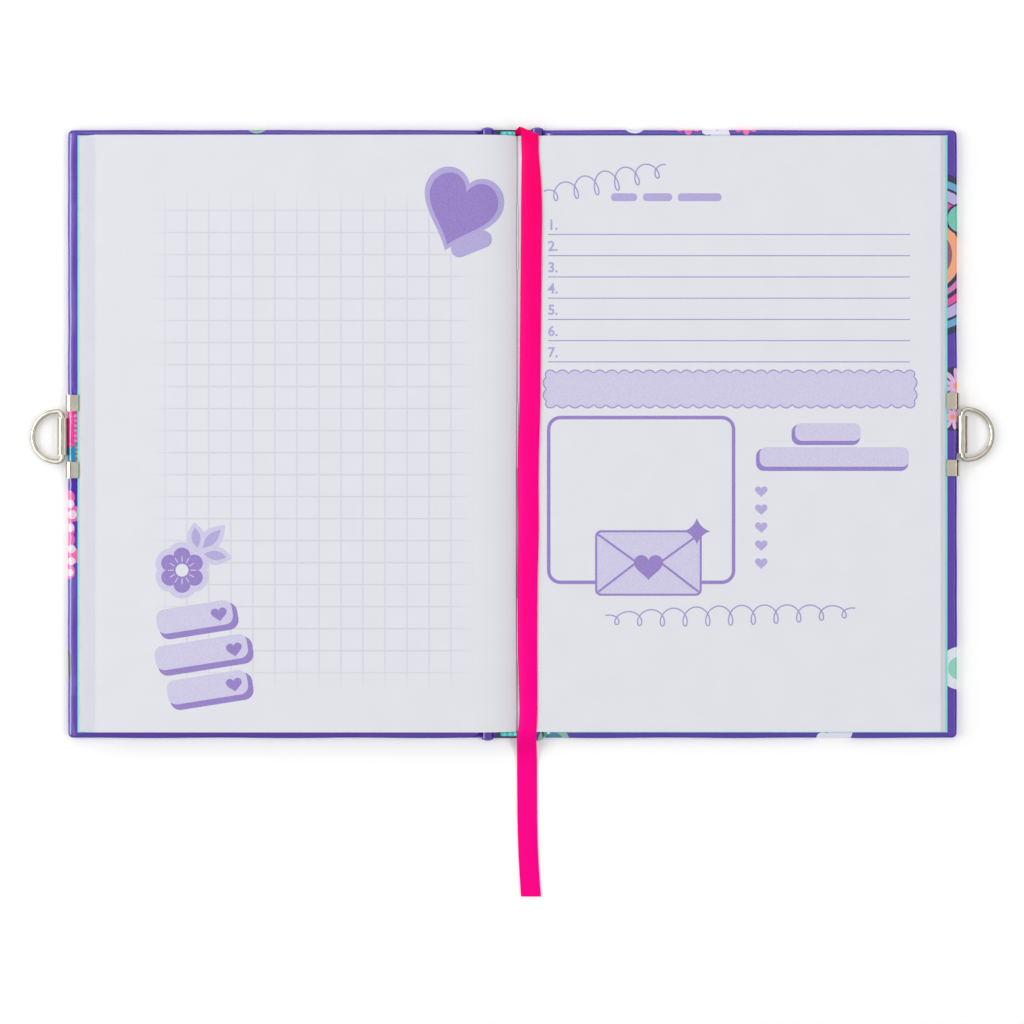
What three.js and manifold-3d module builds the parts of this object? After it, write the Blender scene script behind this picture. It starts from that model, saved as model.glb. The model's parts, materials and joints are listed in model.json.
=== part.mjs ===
// A secret diary lying open on its back: a hard case wrapped in glossy laminated paper, a sewn block
// of six signatures open in the fifth, a satin ribbon, and a clasp plate with a D-ring on each cover.
// Millimetres. +X runs to the back cover, +Y to the head of the pages, +Z up from the table.
import * as THREE from "three";
import { mergeVertices } from "three/addons/utils/BufferGeometryUtils.js";
import Module from "manifold-3d";

const wasm = await Module();
wasm.setup();

// Case: greyboards wrapped in laminated paper, with a coloured lining sheet pasted inside
const squareSide = 3.78;
const squareEnds = 2.25;
const boardThickness = 1.8;
const spineBoardThickness = 1.2;
const wrapThickness = 0.25;
const liningThickness = 0.14;
const turnInWidth = 15;
const liningInsetSide = 3.3;
const liningInsetEnds = 1.9;
const jointGap = 4;
const jointClothThickness = 0.4;
const jointEndBulge = 0.6;
const ridgeClearance = 0.25;
const coverEdgeRadius = 0.6;
const glueLine = 0.02;

// How far a cutting shape runs past what it cuts, the steps in a rounded corner, and the distance
// at which two points are the same one
const cutPast = 1;
const cornerSteps = 5;
const sameDistance = 1e-4;

// Text block: six folded signatures between two flyleaves, sewn, and open inside the fifth
const pageLength = 139.4;
const pageHeight = 195.5;
const leafThickness = 0.12;
const flyleafThickness = 0.15;
const leavesPerSignature = 8;
const wholeSignaturesLeft = 4;
const wholeSignaturesRight = 1;
const paperGap = 0.04;
const foldSpread = 2;
const foldSteps = 10;
const foldToFlatGap = 0.05;
const spineClothThickness = 0.32;
const spineClothInset = 1.75;

// Bands at the head and the foot of the spine, and the thread in the open fold
const bandRadius = 0.75;
const bandOverhang = 0.9;
const bandSides = 12;
const threadRadius = 0.2;
const threadSides = 8;
const stitchLength = 21.5;
const stitchFromEnd = 33.3;
const stitchMiddle = -0.6;
const stitchHeight = 0.95;
const stitchOffset = 0.2;

// Clasp plates of folded sheet metal, each with a rolled knuckle that holds a wire D-ring
const sheetThickness = 0.6;
const plateDepth = 12;
const plateRise = 0.05;
const bandWidth = 5.3;
const bandSpacing = 22;
const bandStandOff = 0.25;
const bandCornerRadius = 0.9;
const bandTipRadius = 0.55;
const bandTipGap = 0.15;
const knuckleRadius = 1.7;
const knuckleLength = 12.2;
const knuckleSides = 28;
const recessGap = 0.05;
const wireRadius = 0.75;
const ringBowRadius = 8.3;
const ringCornerRadius = 1.7;
const ringBowSteps = 22;
const ringCornerSteps = 5;
const ringSides = 10;
const ringTipClearance = 0.03;
const frontClaspPlace = -0.9;
const backClaspPlace = -0.2;

// Satin ribbon, from inside the spine over the head, down the open page and out past the foot
const ribbonWidth = 6.75;
const ribbonThickness = 0.3;
const ribbonLift = 0.46;

// Sizes that follow from the ones above
const coverThickness = 2 * wrapThickness + boardThickness + liningThickness + 3 * glueLine;
const signatureThickness = leavesPerSignature * leafThickness;
const signatureCount = wholeSignaturesLeft + wholeSignaturesRight + 1;
const blockThickness = signatureCount * signatureThickness + 2 * flyleafThickness;
const claspAllowance = sheetThickness + 2 * glueLine + paperGap;
const spineHalf = blockThickness / 2 + claspAllowance + coverThickness;
const boardInner = spineHalf + jointGap;
const halfBlock = blockThickness / 2;
const coverReach = halfBlock + pageLength + squareSide;
const halfPage = pageHeight / 2;
const halfCover = halfPage + squareEnds;
const gutter = -halfBlock + flyleafThickness + (wholeSignaturesLeft + 0.5) * signatureThickness;
const rightHeight = flyleafThickness + (wholeSignaturesRight + 0.5) * signatureThickness;
const foldLength = quarterEllipse(1 + foldSpread, 1);
const plateTop = plateRise + sheetThickness;
const bandHalfSpan = (bandSpacing + bandWidth) / 2;
const knuckleX = coverReach + recessGap + knuckleRadius;
const knuckleZ = plateRise + knuckleRadius;

// Finishes, in the colours that the object has
const finish = (color, roughness, metalness) =>
  new THREE.MeshStandardMaterial({ color, roughness, metalness });
const laminate = finish("#6a4fb3", 0.3, 0);
const greyboard = finish("#8f8a80", 0.9, 0);
const liningPaper = finish("#a9dfdb", 0.7, 0);
const paper = finish("#e4e5ea", 0.85, 0);
const cloth = finish("#e8e4da", 0.9, 0);
const bandWeave = finish("#2fc4c4", 0.6, 0);
const thread = finish("#f2f2f2", 0.7, 0);
const nickel = finish("#b9b3a6", 0.25, 1);
const satin = finish("#ff0a8c", 0.4, 0);

const diary = new THREE.Group();

// The middle of the ribbon: out of the spine, over the head, down the right-hand page, off the foot
// and along the table. Near the ends of the page its points are measured from them.
const ribbonTop = coverThickness + rightHeight + ribbonLift;
const ribbonRoute = [
  [1.9, halfCover - 3.4, coverThickness - 0.48],
  [1.9, halfCover - 1.2, coverThickness - 0.45],
  [2.1, halfCover, coverThickness - 0.1],
  [2.6, halfCover + 0.6, coverThickness + 0.7],
  [3.3, halfCover + 0.5, ribbonTop - 0.55],
  [4.2, halfCover - 0.2, ribbonTop + 0.05],
  [5.0, halfPage + 0.85, ribbonTop + 0.3],
  [5.5, halfPage - 1.15, ribbonTop + 0.15],
  [5.8, halfPage - 4.8, ribbonTop],
  [6.1, halfPage - 12.7, ribbonTop],
  [6.25, halfPage - 20.7, ribbonTop],
  [6.15, 60, ribbonTop],
  [5.95, 40, ribbonTop],
  [5.8, 22, ribbonTop],
  [5.65, 7, ribbonTop],
  [5.25, -6, ribbonTop],
  [5.15, -18, ribbonTop],
  [5.25, -30, ribbonTop],
  [4.95, -49, ribbonTop],
  [4.95, -halfPage + 27.7, ribbonTop],
  [5.15, -halfPage + 13.8, ribbonTop],
  [5.2, -halfPage + 5.8, ribbonTop],
  [4.95, -halfPage + 1.25, ribbonTop - 0.05],
  [4.7, -halfPage - 0.85, ribbonTop - 0.35],
  [4.65, -halfCover - 0.4, coverThickness + 0.9],
  [4.7, -halfCover - 2.4, coverThickness - 0.3],
  [4.75, -halfCover - 4.6, 1.1],
  [4.8, -halfCover - 7.6, 0.5],
  [4.8, -halfCover - 12, 0.3],
  [4.85, -halfCover - 20, 0.3],
  [4.95, -halfCover - 29, 0.3],
  [5.2, -halfCover - 37.5, 0.3],
  [5.6, -halfCover - 45, 0.3],
  [6.1, -halfCover - 52.3, 0.3],
];

// Ramanujan's length of a quarter of an ellipse with half axes a and b
function quarterEllipse(a, b) {
  return (Math.PI / 4) * (3 * (a + b) - Math.sqrt((3 * a + b) * (a + 3 * b)));
}

// Adds one piece. A mirrored piece is the left-hand shape turned over to the back cover's side.
function add(name, geometry, material, mirrored = false, y = 0) {
  const mesh = new THREE.Mesh(geometry, material);
  mesh.name = name;
  mesh.scale.x = mirrored ? -1 : 1;
  mesh.position.y = y;
  diary.add(mesh);
}

function box(x0, x1, y0, y1, z0, z1) {
  const geometry = new THREE.BoxGeometry(x1 - x0, y1 - y0, z1 - z0);
  return geometry.translate((x0 + x1) / 2, (y0 + y1) / 2, (z0 + z1) / 2);
}

// A rectangle whose corners are rounded at its low end, its high end, or both
function roundedShape(low, high, bottom, top, lowRadius, highRadius) {
  const shape = new THREE.Shape();
  const right = Math.PI / 2;
  shape.moveTo(low + lowRadius, bottom);
  shape.lineTo(high - highRadius, bottom);
  shape.absarc(high - highRadius, bottom + highRadius, highRadius, -right, 0, false);
  shape.absarc(high - highRadius, top - highRadius, highRadius, 0, right, false);
  shape.lineTo(low + lowRadius, top);
  shape.absarc(low + lowRadius, top - lowRadius, lowRadius, right, 2 * right, false);
  shape.absarc(low + lowRadius, bottom + lowRadius, lowRadius, 2 * right, 3 * right, false);
  return shape;
}

// A shape drawn in X and Z, run along Y
function alongY(shape, y0, y1) {
  const settings = { depth: y1 - y0, bevelEnabled: false, curveSegments: cornerSteps };
  return new THREE.ExtrudeGeometry(shape, settings).rotateX(Math.PI / 2).translate(0, y1, 0);
}

// A shape drawn in Y and Z, run along X
function alongX(shape, x0, x1) {
  const settings = { depth: x1 - x0, bevelEnabled: false, curveSegments: cornerSteps };
  const geometry = new THREE.ExtrudeGeometry(shape, settings);
  return geometry.rotateX(Math.PI / 2).rotateZ(Math.PI / 2).translate(x0, 0, 0);
}

const polygon = (points) => new THREE.Shape(points.map(([a, b]) => new THREE.Vector2(a, b)));

// A rod along Y, centred at x, y and z
function rodAlongY(radius, length, sides, x, y, z) {
  return new THREE.CylinderGeometry(radius, radius, length, sides).translate(x, y, z);
}

function toSolid(geometry) {
  const bare = new THREE.BufferGeometry().setAttribute("position", geometry.getAttribute("position"));
  bare.setIndex(geometry.getIndex());
  const merged = mergeVertices(bare, sameDistance);
  return new wasm.Manifold(
    new wasm.Mesh({
      numProp: 3,
      vertProperties: merged.getAttribute("position").array,
      triVerts: new Uint32Array(merged.getIndex().array),
    }),
  );
}

function toGeometry(solid) {
  const mesh = solid.getMesh();
  const geometry = new THREE.BufferGeometry();
  geometry.setAttribute("position", new THREE.BufferAttribute(mesh.vertProperties, 3));
  geometry.setIndex(new THREE.BufferAttribute(mesh.triVerts, 1));
  return geometry;
}

const cut = (geometry, ...tools) =>
  toGeometry(tools.reduce((solid, tool) => solid.subtract(toSolid(tool)), toSolid(geometry)));
const join = (geometry, ...others) =>
  toGeometry(others.reduce((solid, other) => solid.add(toSolid(other)), toSolid(geometry)));
const common = (first, second) => toGeometry(toSolid(first).intersect(toSolid(second)));

// The flush seat of the clasp plate in the underside of a cover
function claspSeat(place) {
  const x1 = -coverReach + plateDepth + recessGap;
  const reach = bandHalfSpan + recessGap;
  const top = plateTop + glueLine;
  return box(-coverReach - cutPast, x1, place - reach, place + reach, -cutPast, top);
}

// A cover board, cut back underneath for its clasp plate
function coverBoard(place) {
  const side = -coverReach + wrapThickness + glueLine;
  const end = halfCover - wrapThickness - glueLine;
  const bottom = wrapThickness + glueLine;
  const board = box(side, -boardInner, -end, end, bottom, bottom + boardThickness);
  return cut(board, claspSeat(place));
}

// The laminated sheet round a cover board: outside face, three edges and the turned-in strips
function coverWrap(place) {
  const top = coverThickness - liningThickness - glueLine;
  const side = roundedShape(-coverReach, -boardInner, 0, top, coverEdgeRadius, 0);
  const ends = roundedShape(-halfCover, halfCover, 0, top, coverEdgeRadius, coverEdgeRadius);
  const outside = common(
    alongY(side, -halfCover, halfCover),
    alongX(ends, -coverReach, -boardInner),
  );
  const inner = halfCover - wrapThickness;
  const pocket = box(
    -coverReach + wrapThickness,
    -boardInner + cutPast,
    -inner,
    inner,
    wrapThickness,
    top - wrapThickness,
  );
  const window = box(
    -coverReach + turnInWidth,
    -boardInner + cutPast,
    -halfCover + turnInWidth,
    halfCover - turnInWidth,
    top - 2 * wrapThickness,
    top + cutPast,
  );
  return cut(outside, pocket, window, claspSeat(place));
}

// The coloured sheet pasted over the turned-in strips, short of the cover's edges
function coverLining() {
  const end = halfCover - liningInsetEnds;
  return box(
    -coverReach + liningInsetSide,
    -boardInner,
    -end,
    end,
    coverThickness - liningThickness,
    coverThickness,
  );
}

// The covering between board and spine, pushed up into a rounded ridge when the case lies flat
function jointRidge() {
  const outer = jointGap / 2 - glueLine;
  const inner = outer - jointClothThickness;
  const middle = -spineHalf - jointGap / 2;
  const foot = wrapThickness;
  const outerRise = coverThickness - ridgeClearance - foot;
  const innerRise = outerRise - jointClothThickness;
  const shape = new THREE.Shape();
  shape.moveTo(middle + inner, 0);
  shape.lineTo(middle + outer, 0);
  shape.absellipse(middle, foot, outer, outerRise, 0, Math.PI, false);
  shape.lineTo(middle - outer, 0);
  shape.lineTo(middle - inner, 0);
  shape.absellipse(middle, foot, inner, innerRise, Math.PI, 0, true);
  const end = halfCover + jointEndBulge;
  return alongY(shape, -end, end);
}

// The spine's stiffener and its covering, turned in at head and foot
function spineBoard() {
  const end = halfCover - wrapThickness - glueLine;
  const bottom = wrapThickness + glueLine;
  return box(-spineHalf, spineHalf, -end, end, bottom, bottom + spineBoardThickness);
}

function spineWrap() {
  const top = 2 * wrapThickness + spineBoardThickness + 2 * glueLine;
  const inner = halfCover - wrapThickness;
  const over = spineHalf + cutPast;
  const turnIn = halfCover - turnInWidth;
  return cut(
    box(-spineHalf, spineHalf, -halfCover, halfCover, 0, top),
    box(-over, over, -inner, inner, wrapThickness, top - wrapThickness),
    box(-over, over, -turnIn, turnIn, top - 2 * wrapThickness, top + cutPast),
  );
}

// The cloth glued over the sewn folds
function spineCloth() {
  const top = coverThickness - paperGap;
  const end = halfPage - spineClothInset;
  return box(-halfBlock, halfBlock, -end, end, top - spineClothThickness, top);
}

// The flat of a packet of leaves between heights low and high above the cover. Its inner end slants
// as the folds do, and its fore-edge falls back by what the fold's curve takes up.
function packetFlat(low, high) {
  const under = low + paperGap / 2;
  const over = high - paperGap / 2;
  const middle = (low + high) / 2;
  const foreEdge = -halfBlock - pageLength + (foldLength - foldSpread) * middle;
  const inner = (height) => -halfBlock - foldSpread * height - foldToFlatGap;
  const shape = polygon([
    [foreEdge, coverThickness + under],
    [inner(under), coverThickness + under],
    [inner(over), coverThickness + over],
    [foreEdge, coverThickness + over],
  ]);
  return alongY(shape, -halfPage, halfPage);
}

// The folded side of a packet: quarter ellipses that rise from the spine and lie down into the flat
function packetFold(low, high) {
  const curve = (height, from, to) =>
    Array.from({ length: foldSteps + 1 }, (_, step) => {
      const turn = from + ((to - from) * step) / foldSteps;
      return [
        -halfBlock - foldSpread * height + (1 + foldSpread) * height * Math.cos(turn),
        coverThickness + height * Math.sin(turn),
      ];
    });
  const under = curve(low + paperGap / 2, 0, Math.PI / 2);
  const over = curve(high - paperGap / 2, Math.PI / 2, 0);
  return alongY(polygon([...under, ...over]), -halfPage, halfPage);
}

// One side of the open block, from the cover up, as pairs of name and thickness
function addPackets(packets, mirrored) {
  let height = 0;
  for (const [name, thickness] of packets) {
    const isFlyleaf = name.endsWith("flyleaf");
    const sheet = isFlyleaf ? liningPaper : paper;
    add(name, packetFlat(height, height + thickness), sheet, mirrored);
    if (!isFlyleaf) {
      add(name + "_fold", packetFold(height, height + thickness), sheet, mirrored);
    }
    height += thickness;
  }
}

// The woven band that finishes the block's spine at its head or its foot
function endBand(end) {
  const y = end * (halfPage + glueLine + bandRadius);
  const z = coverThickness + bandRadius;
  const rod = new THREE.CylinderGeometry(
    bandRadius,
    bandRadius,
    blockThickness + bandOverhang,
    bandSides,
  );
  return rod.rotateZ(Math.PI / 2).translate(-bandOverhang / 2, y, z);
}

// Sheet metal folded round the fore-edge at two bands, with a knuckle rolled between them
function claspPlate() {
  const wall = coverReach + bandStandOff + sheetThickness;
  const tip = halfBlock + pageLength + bandTipGap;
  const leafTop = coverThickness + glueLine;
  const base = box(
    -coverReach - bandStandOff,
    -coverReach + plateDepth,
    -bandHalfSpan,
    bandHalfSpan,
    plateRise,
    plateTop,
  );
  const tongue = box(
    -knuckleX,
    -coverReach + sheetThickness,
    -knuckleLength / 2,
    knuckleLength / 2,
    plateRise,
    plateTop,
  );
  const bands = [-1, 1].map((end) => {
    const y = (end * bandSpacing) / 2;
    const y0 = y - bandWidth / 2;
    const y1 = y + bandWidth / 2;
    const outside = roundedShape(
      -wall,
      -tip,
      plateRise,
      leafTop + sheetThickness,
      bandCornerRadius,
      bandTipRadius,
    );
    const inside = roundedShape(
      -wall + sheetThickness,
      -tip + cutPast,
      plateTop,
      leafTop,
      bandCornerRadius - sheetThickness,
      0,
    );
    return cut(alongY(outside, y0, y1), alongY(inside, y0 - cutPast, y1 + cutPast));
  });
  const roll = rodAlongY(knuckleRadius, knuckleLength, knuckleSides, -knuckleX, 0, knuckleZ);
  const bore = rodAlongY(
    knuckleRadius - sheetThickness,
    knuckleLength + 2 * cutPast,
    knuckleSides,
    -knuckleX,
    0,
    knuckleZ,
  );
  return cut(join(base, tongue, roll, ...bands), bore);
}

// A D of round wire: a straight bar in the knuckle, two tight corners and a half-round bow. It leans
// on the table at its tip.
function dRing() {
  const barHalf = ringBowRadius - ringCornerRadius;
  const path = [];
  const arc = (x, y, radius, from, to, steps) => {
    for (let step = 0; step < steps; step += 1) {
      const turn = from + ((to - from) * step) / steps;
      path.push([x + radius * Math.cos(turn), y + radius * Math.sin(turn)]);
    }
  };
  const right = Math.PI / 2;
  arc(-ringCornerRadius, barHalf, ringCornerRadius, 0, right, ringCornerSteps);
  arc(-ringCornerRadius, 0, ringBowRadius, right, 3 * right, ringBowSteps);
  arc(-ringCornerRadius, -barHalf, ringCornerRadius, 3 * right, 4 * right, ringCornerSteps);
  path.push([0, -barHalf]);
  path.push([0, 0]);
  const drop = knuckleZ - wireRadius - ringTipClearance;
  const lean = Math.asin(drop / (ringBowRadius + ringCornerRadius));
  return closedTube(path, wireRadius, ringSides)
    .rotateY(-lean)
    .translate(-knuckleX, 0, knuckleZ);
}

// A round tube along a closed path that lies in the XY plane
function closedTube(path, radius, sides) {
  const positions = [];
  const indices = [];
  const count = path.length;
  path.forEach(([x, y], place) => {
    const [x0, y0] = path[(place + count - 1) % count];
    const [x1, y1] = path[(place + 1) % count];
    const length = Math.hypot(x1 - x0, y1 - y0);
    const across = [(y1 - y0) / length, (x0 - x1) / length];
    for (let side = 0; side < sides; side += 1) {
      const turn = (2 * Math.PI * side) / sides;
      const out = radius * Math.cos(turn);
      positions.push(x + across[0] * out, y + across[1] * out, radius * Math.sin(turn));
      const next = (place + 1) % count;
      const a = place * sides + side;
      const b = place * sides + ((side + 1) % sides);
      const c = next * sides + side;
      const d = next * sides + ((side + 1) % sides);
      indices.push(a, d, b, a, c, d);
    }
  });
  const geometry = new THREE.BufferGeometry();
  geometry.setAttribute("position", new THREE.Float32BufferAttribute(positions, 3));
  return geometry.setIndex(indices);
}

// A flat strip along a route, level across X, with its thickness square to the route
function strip(route, width, thickness) {
  const positions = [];
  const indices = [];
  const last = route.length - 1;
  route.forEach(([x, y, z], place) => {
    const [, y0, z0] = route[Math.max(place - 1, 0)];
    const [, y1, z1] = route[Math.min(place + 1, last)];
    const length = Math.hypot(y1 - y0, z1 - z0);
    const ny = ((z1 - z0) / length) * (thickness / 2);
    const nz = ((y0 - y1) / length) * (thickness / 2);
    positions.push(x - width / 2, y - ny, z - nz, x + width / 2, y - ny, z - nz);
    positions.push(x + width / 2, y + ny, z + nz, x - width / 2, y + ny, z + nz);
    if (place < last) {
      for (let side = 0; side < 4; side += 1) {
        const a = place * 4 + side;
        const b = place * 4 + ((side + 1) % 4);
        indices.push(a, b, b + 4, a, b + 4, a + 4);
      }
    }
  });
  const end = last * 4;
  indices.push(0, 3, 2, 0, 2, 1);
  indices.push(end, end + 1, end + 2, end, end + 2, end + 3);
  const geometry = new THREE.BufferGeometry();
  geometry.setAttribute("position", new THREE.Float32BufferAttribute(positions, 3));
  return geometry.setIndex(indices);
}

// The case
for (const [cover, place, mirrored] of [
  ["front", frontClaspPlace, false],
  ["back", backClaspPlace, true],
]) {
  add(cover + "_board", coverBoard(place), greyboard, mirrored);
  add(cover + "_wrap", coverWrap(place), laminate, mirrored);
  add(cover + "_lining", coverLining(), liningPaper, mirrored);
  add(cover + "_joint", jointRidge(), laminate, mirrored);
  add(cover + "_clasp_plate", claspPlate(), nickel, mirrored, place);
  add(cover + "_d_ring", dRing(), nickel, mirrored, place);
}
add("spine_board", spineBoard(), greyboard);
add("spine_wrap", spineWrap(), laminate);

// The text block
const openHalf = signatureThickness / 2 - leafThickness;
const wholeLeft = Array.from({ length: wholeSignaturesLeft }, (_, place) => [
  "signature_" + (place + 1),
  signatureThickness,
]);
const wholeRight = Array.from({ length: wholeSignaturesRight }, (_, place) => [
  "signature_" + (signatureCount - place),
  signatureThickness,
]);
const openName = "signature_" + (wholeSignaturesLeft + 1);
addPackets(
  [
    ["front_flyleaf", flyleafThickness],
    ...wholeLeft,
    [openName + "_left", openHalf],
    ["left_leaf", leafThickness],
  ],
  false,
);
addPackets(
  [
    ["back_flyleaf", flyleafThickness],
    ...wholeRight,
    [openName + "_right", openHalf],
    ["right_leaf", leafThickness],
  ],
  true,
);
add("spine_cloth", spineCloth(), cloth);
add("headband", endBand(1), bandWeave);
add("tailband", endBand(-1), bandWeave);
[halfPage - stitchFromEnd, stitchMiddle, -halfPage + stitchFromEnd].forEach((y, place) => {
  const x = gutter + stitchOffset;
  const z = coverThickness + stitchHeight;
  const stitch = rodAlongY(threadRadius, stitchLength, threadSides, x, y, z);
  add("sewing_stitch_" + (place + 1), stitch, thread);
});
add("ribbon_bookmark", strip(ribbonRoute, ribbonWidth, ribbonThickness), satin);

export default diary;
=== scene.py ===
"""A secret diary lying open on its back: a hard case wrapped in glossy printed paper, a sewn block of
leaves, a satin ribbon, and a nickel clasp plate with a D-ring on each cover. Objects are in metres.
Sizes and places below are in millimetres, but for the studio's, which are in metres."""
import json

import bmesh
import bpy
import numpy as np
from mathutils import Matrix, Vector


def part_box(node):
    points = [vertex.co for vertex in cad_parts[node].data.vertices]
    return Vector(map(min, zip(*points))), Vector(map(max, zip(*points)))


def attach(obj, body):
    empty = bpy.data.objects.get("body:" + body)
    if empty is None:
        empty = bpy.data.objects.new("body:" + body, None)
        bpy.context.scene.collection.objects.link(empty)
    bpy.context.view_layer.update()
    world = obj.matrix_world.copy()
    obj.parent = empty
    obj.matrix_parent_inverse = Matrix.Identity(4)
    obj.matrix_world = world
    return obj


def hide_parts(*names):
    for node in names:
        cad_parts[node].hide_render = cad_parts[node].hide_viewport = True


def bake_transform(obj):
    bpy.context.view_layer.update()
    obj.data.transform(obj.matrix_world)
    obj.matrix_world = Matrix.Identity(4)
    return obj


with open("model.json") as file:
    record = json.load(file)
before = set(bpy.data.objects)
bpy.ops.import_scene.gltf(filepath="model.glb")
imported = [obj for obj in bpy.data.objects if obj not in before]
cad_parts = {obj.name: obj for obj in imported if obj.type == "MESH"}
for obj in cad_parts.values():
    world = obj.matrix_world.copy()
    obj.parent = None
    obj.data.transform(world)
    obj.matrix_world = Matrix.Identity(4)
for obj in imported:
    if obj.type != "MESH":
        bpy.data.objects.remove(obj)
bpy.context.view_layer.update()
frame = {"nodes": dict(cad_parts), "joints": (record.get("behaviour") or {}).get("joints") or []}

scene = bpy.context.scene
MM = 0.001

# The camera looks straight down on the open diary, as the photograph does. The frame takes in
# 336.9 mm of the table, and its middle lies 25.7 mm below the middle of the diary.
FRAME_SIDE = 336.9
CAMERA_DISTANCE = 1000.0
COVER_EDGE_HEIGHT = 1.25
FRAME_CENTRE = (-0.16, -25.66)

camera = bpy.data.objects.new("camera", bpy.data.cameras.new("camera"))
camera.data.sensor_width = 36.0
camera.data.lens = camera.data.sensor_width * CAMERA_DISTANCE / FRAME_SIDE
camera.location = (
    FRAME_CENTRE[0] * MM,
    FRAME_CENTRE[1] * MM,
    (CAMERA_DISTANCE + COVER_EDGE_HEIGHT) * MM,
)
scene.collection.objects.link(camera)
scene.camera = camera

# The ribbon is a woven polyester satin, 6.75 mm wide, glued inside the spine at the head. It comes
# out beside the headband, folds over the head on a slant, lies down the open page and hangs past
# the foot onto the table, where it is cut off square.


def corners(node):
    """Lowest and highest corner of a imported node, in millimetres."""
    low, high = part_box(node)
    return np.array(low) / MM, np.array(high) / MM


def srgb(hex_text):
    """Linear colour of an sRGB hex value: a channel under 0.04045 is divided by 12.92, and any
    other is (channel + 0.055) / 1.055 to the power 2.4."""
    channels = np.array([int(hex_text[i : i + 2], 16) for i in (1, 3, 5)]) / 255
    low = channels / 12.92
    high = ((channels + 0.055) / 1.055) ** 2.4
    return (*np.where(channels <= 0.04045, low, high), 1.0)


def add(tree, kind, inputs=None, output=None, **settings):
    """Adds a shader node and returns one of its outputs: the one asked for, or else the first that
    its settings leave in use. Settings are its own properties. Inputs are keyed by a socket's name
    or number, and each is a value, or another node's output to link."""
    made = tree.nodes.new("ShaderNode" + kind)
    for key, value in settings.items():
        setattr(made, key, value)
    for key, value in (inputs or {}).items():
        if isinstance(value, bpy.types.NodeSocket):
            tree.links.new(value, made.inputs[key])
        else:
            made.inputs[key].default_value = value
    return made.outputs[output] if output else [o for o in made.outputs if o.enabled][0]


def start_material(name, **constants):
    """A material with one Principled shader whose sockets hold the given constants. A socket's
    spaces are written as underscores."""
    made = bpy.data.materials.new(name)
    made.use_nodes = True
    shader = made.node_tree.nodes["Principled BSDF"]
    for key, value in constants.items():
        shader.inputs[key.replace("_", " ")].default_value = value
    return made, made.node_tree, shader


def dress(tree, shader, colour, relief, strength, height):
    """Gives a shader its colour, and a relief with a strength and a height in metres."""
    bump = add(tree, "Bump", {"Strength": strength, "Distance": height, "Height": relief})
    tree.links.new(colour, shader.inputs["Base Color"])
    tree.links.new(bump, shader.inputs["Normal"])
    return bump


def smooth_line(points, run, step):
    """A cubic through the rows of points, cut every step along run. Between two rows it is the
    Hermite cubic of their values and their central-difference slopes."""
    reach = np.concatenate([[0], np.cumsum(np.linalg.norm(np.diff(run, axis=0), axis=1))])
    slope = np.gradient(points, reach, axis=0)
    at = np.linspace(0, reach[-1], int(reach[-1] / step) + 1)
    part = np.clip(np.searchsorted(reach, at, side="right") - 1, 0, len(points) - 2)
    length = (reach[part + 1] - reach[part])[:, None]
    t = (at - reach[part])[:, None] / length
    return (
        points[part] * (2 * t**3 - 3 * t**2 + 1)
        + slope[part] * length * (t**3 - 2 * t**2 + t)
        + points[part + 1] * (3 * t**2 - 2 * t**3)
        + slope[part + 1] * length * (t**3 - t**2)
    )


def grid_faces(rows, columns, rows_close=False, columns_close=False):
    """Quads of a grid of points numbered row by row. They face along the columns' direction
    crossed with the rows' direction."""
    r = np.arange(rows if rows_close else rows - 1)[:, None]
    c = np.arange(columns if columns_close else columns - 1)[None, :]
    r2 = (r + 1) % rows
    c2 = (c + 1) % columns
    quads = [r * columns + c, r * columns + c2, r2 * columns + c2, r2 * columns + c]
    return np.stack(np.broadcast_arrays(*quads), axis=-1).reshape(-1, 4)


def points_of(*coordinates):
    """Points with the given coordinates, which are arrays or numbers spread to one shape."""
    return np.stack(np.broadcast_arrays(*coordinates), axis=-1)


def slab(top, bottom):
    """A closed sheet: the upper grid, the lower grid turned over, and a wall round their border."""
    rows, columns = top.shape[:2]
    count = rows * columns
    index = np.arange(count).reshape(rows, columns)
    border = np.concatenate([index[0, :-1], index[:-1, -1], index[-1, :0:-1], index[:0:-1, 0]])
    after = np.roll(border, -1)
    walls = np.stack([after, border, border + count, after + count], axis=-1)
    upper = grid_faces(rows, columns)
    points = np.concatenate([top.reshape(-1, 3), bottom.reshape(-1, 3)])
    return points, np.concatenate([upper, upper[:, ::-1] + count, walls])


def joined(parts):
    """Several (points, faces) pairs as one, each part's faces counted on from the last."""
    starts = np.cumsum([0] + [len(points) for points, _ in parts[:-1]])
    points = np.concatenate([points for points, _ in parts])
    return points, np.concatenate([faces + start for (_, faces), start in zip(parts, starts)])


def piece(name, shape, material, crease=40, close=False, uv=None):
    """Makes an object of (points, faces), welds points that coincide, closes its open ends if
    asked, and shades it smooth but for edges sharper than crease degrees. The UV map, if there is
    one, takes the first two of each row of uv, in millimetres."""
    points, faces = shape
    mesh = bpy.data.meshes.new(name)
    mesh.from_pydata((points * MM).tolist(), [], faces.tolist())
    if uv is not None:
        loops = np.empty(len(mesh.loops), int)
        mesh.loops.foreach_get("vertex_index", loops)
        layer = mesh.uv_layers.new(name="sheet")
        layer.data.foreach_set("uv", uv[loops, :2].astype(np.float32).ravel())
    edit = bmesh.new()
    edit.from_mesh(mesh)
    bmesh.ops.remove_doubles(edit, verts=edit.verts, dist=1e-7)
    if close:
        bmesh.ops.holes_fill(edit, edges=[e for e in edit.edges if e.is_boundary])
    edit.to_mesh(mesh)
    edit.free()
    mesh.shade_smooth()
    mesh.set_sharp_from_angle(angle=np.radians(crease))
    mesh.materials.append(material)
    made = bpy.data.objects.new(name, mesh)
    scene.collection.objects.link(made)
    return made


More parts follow.
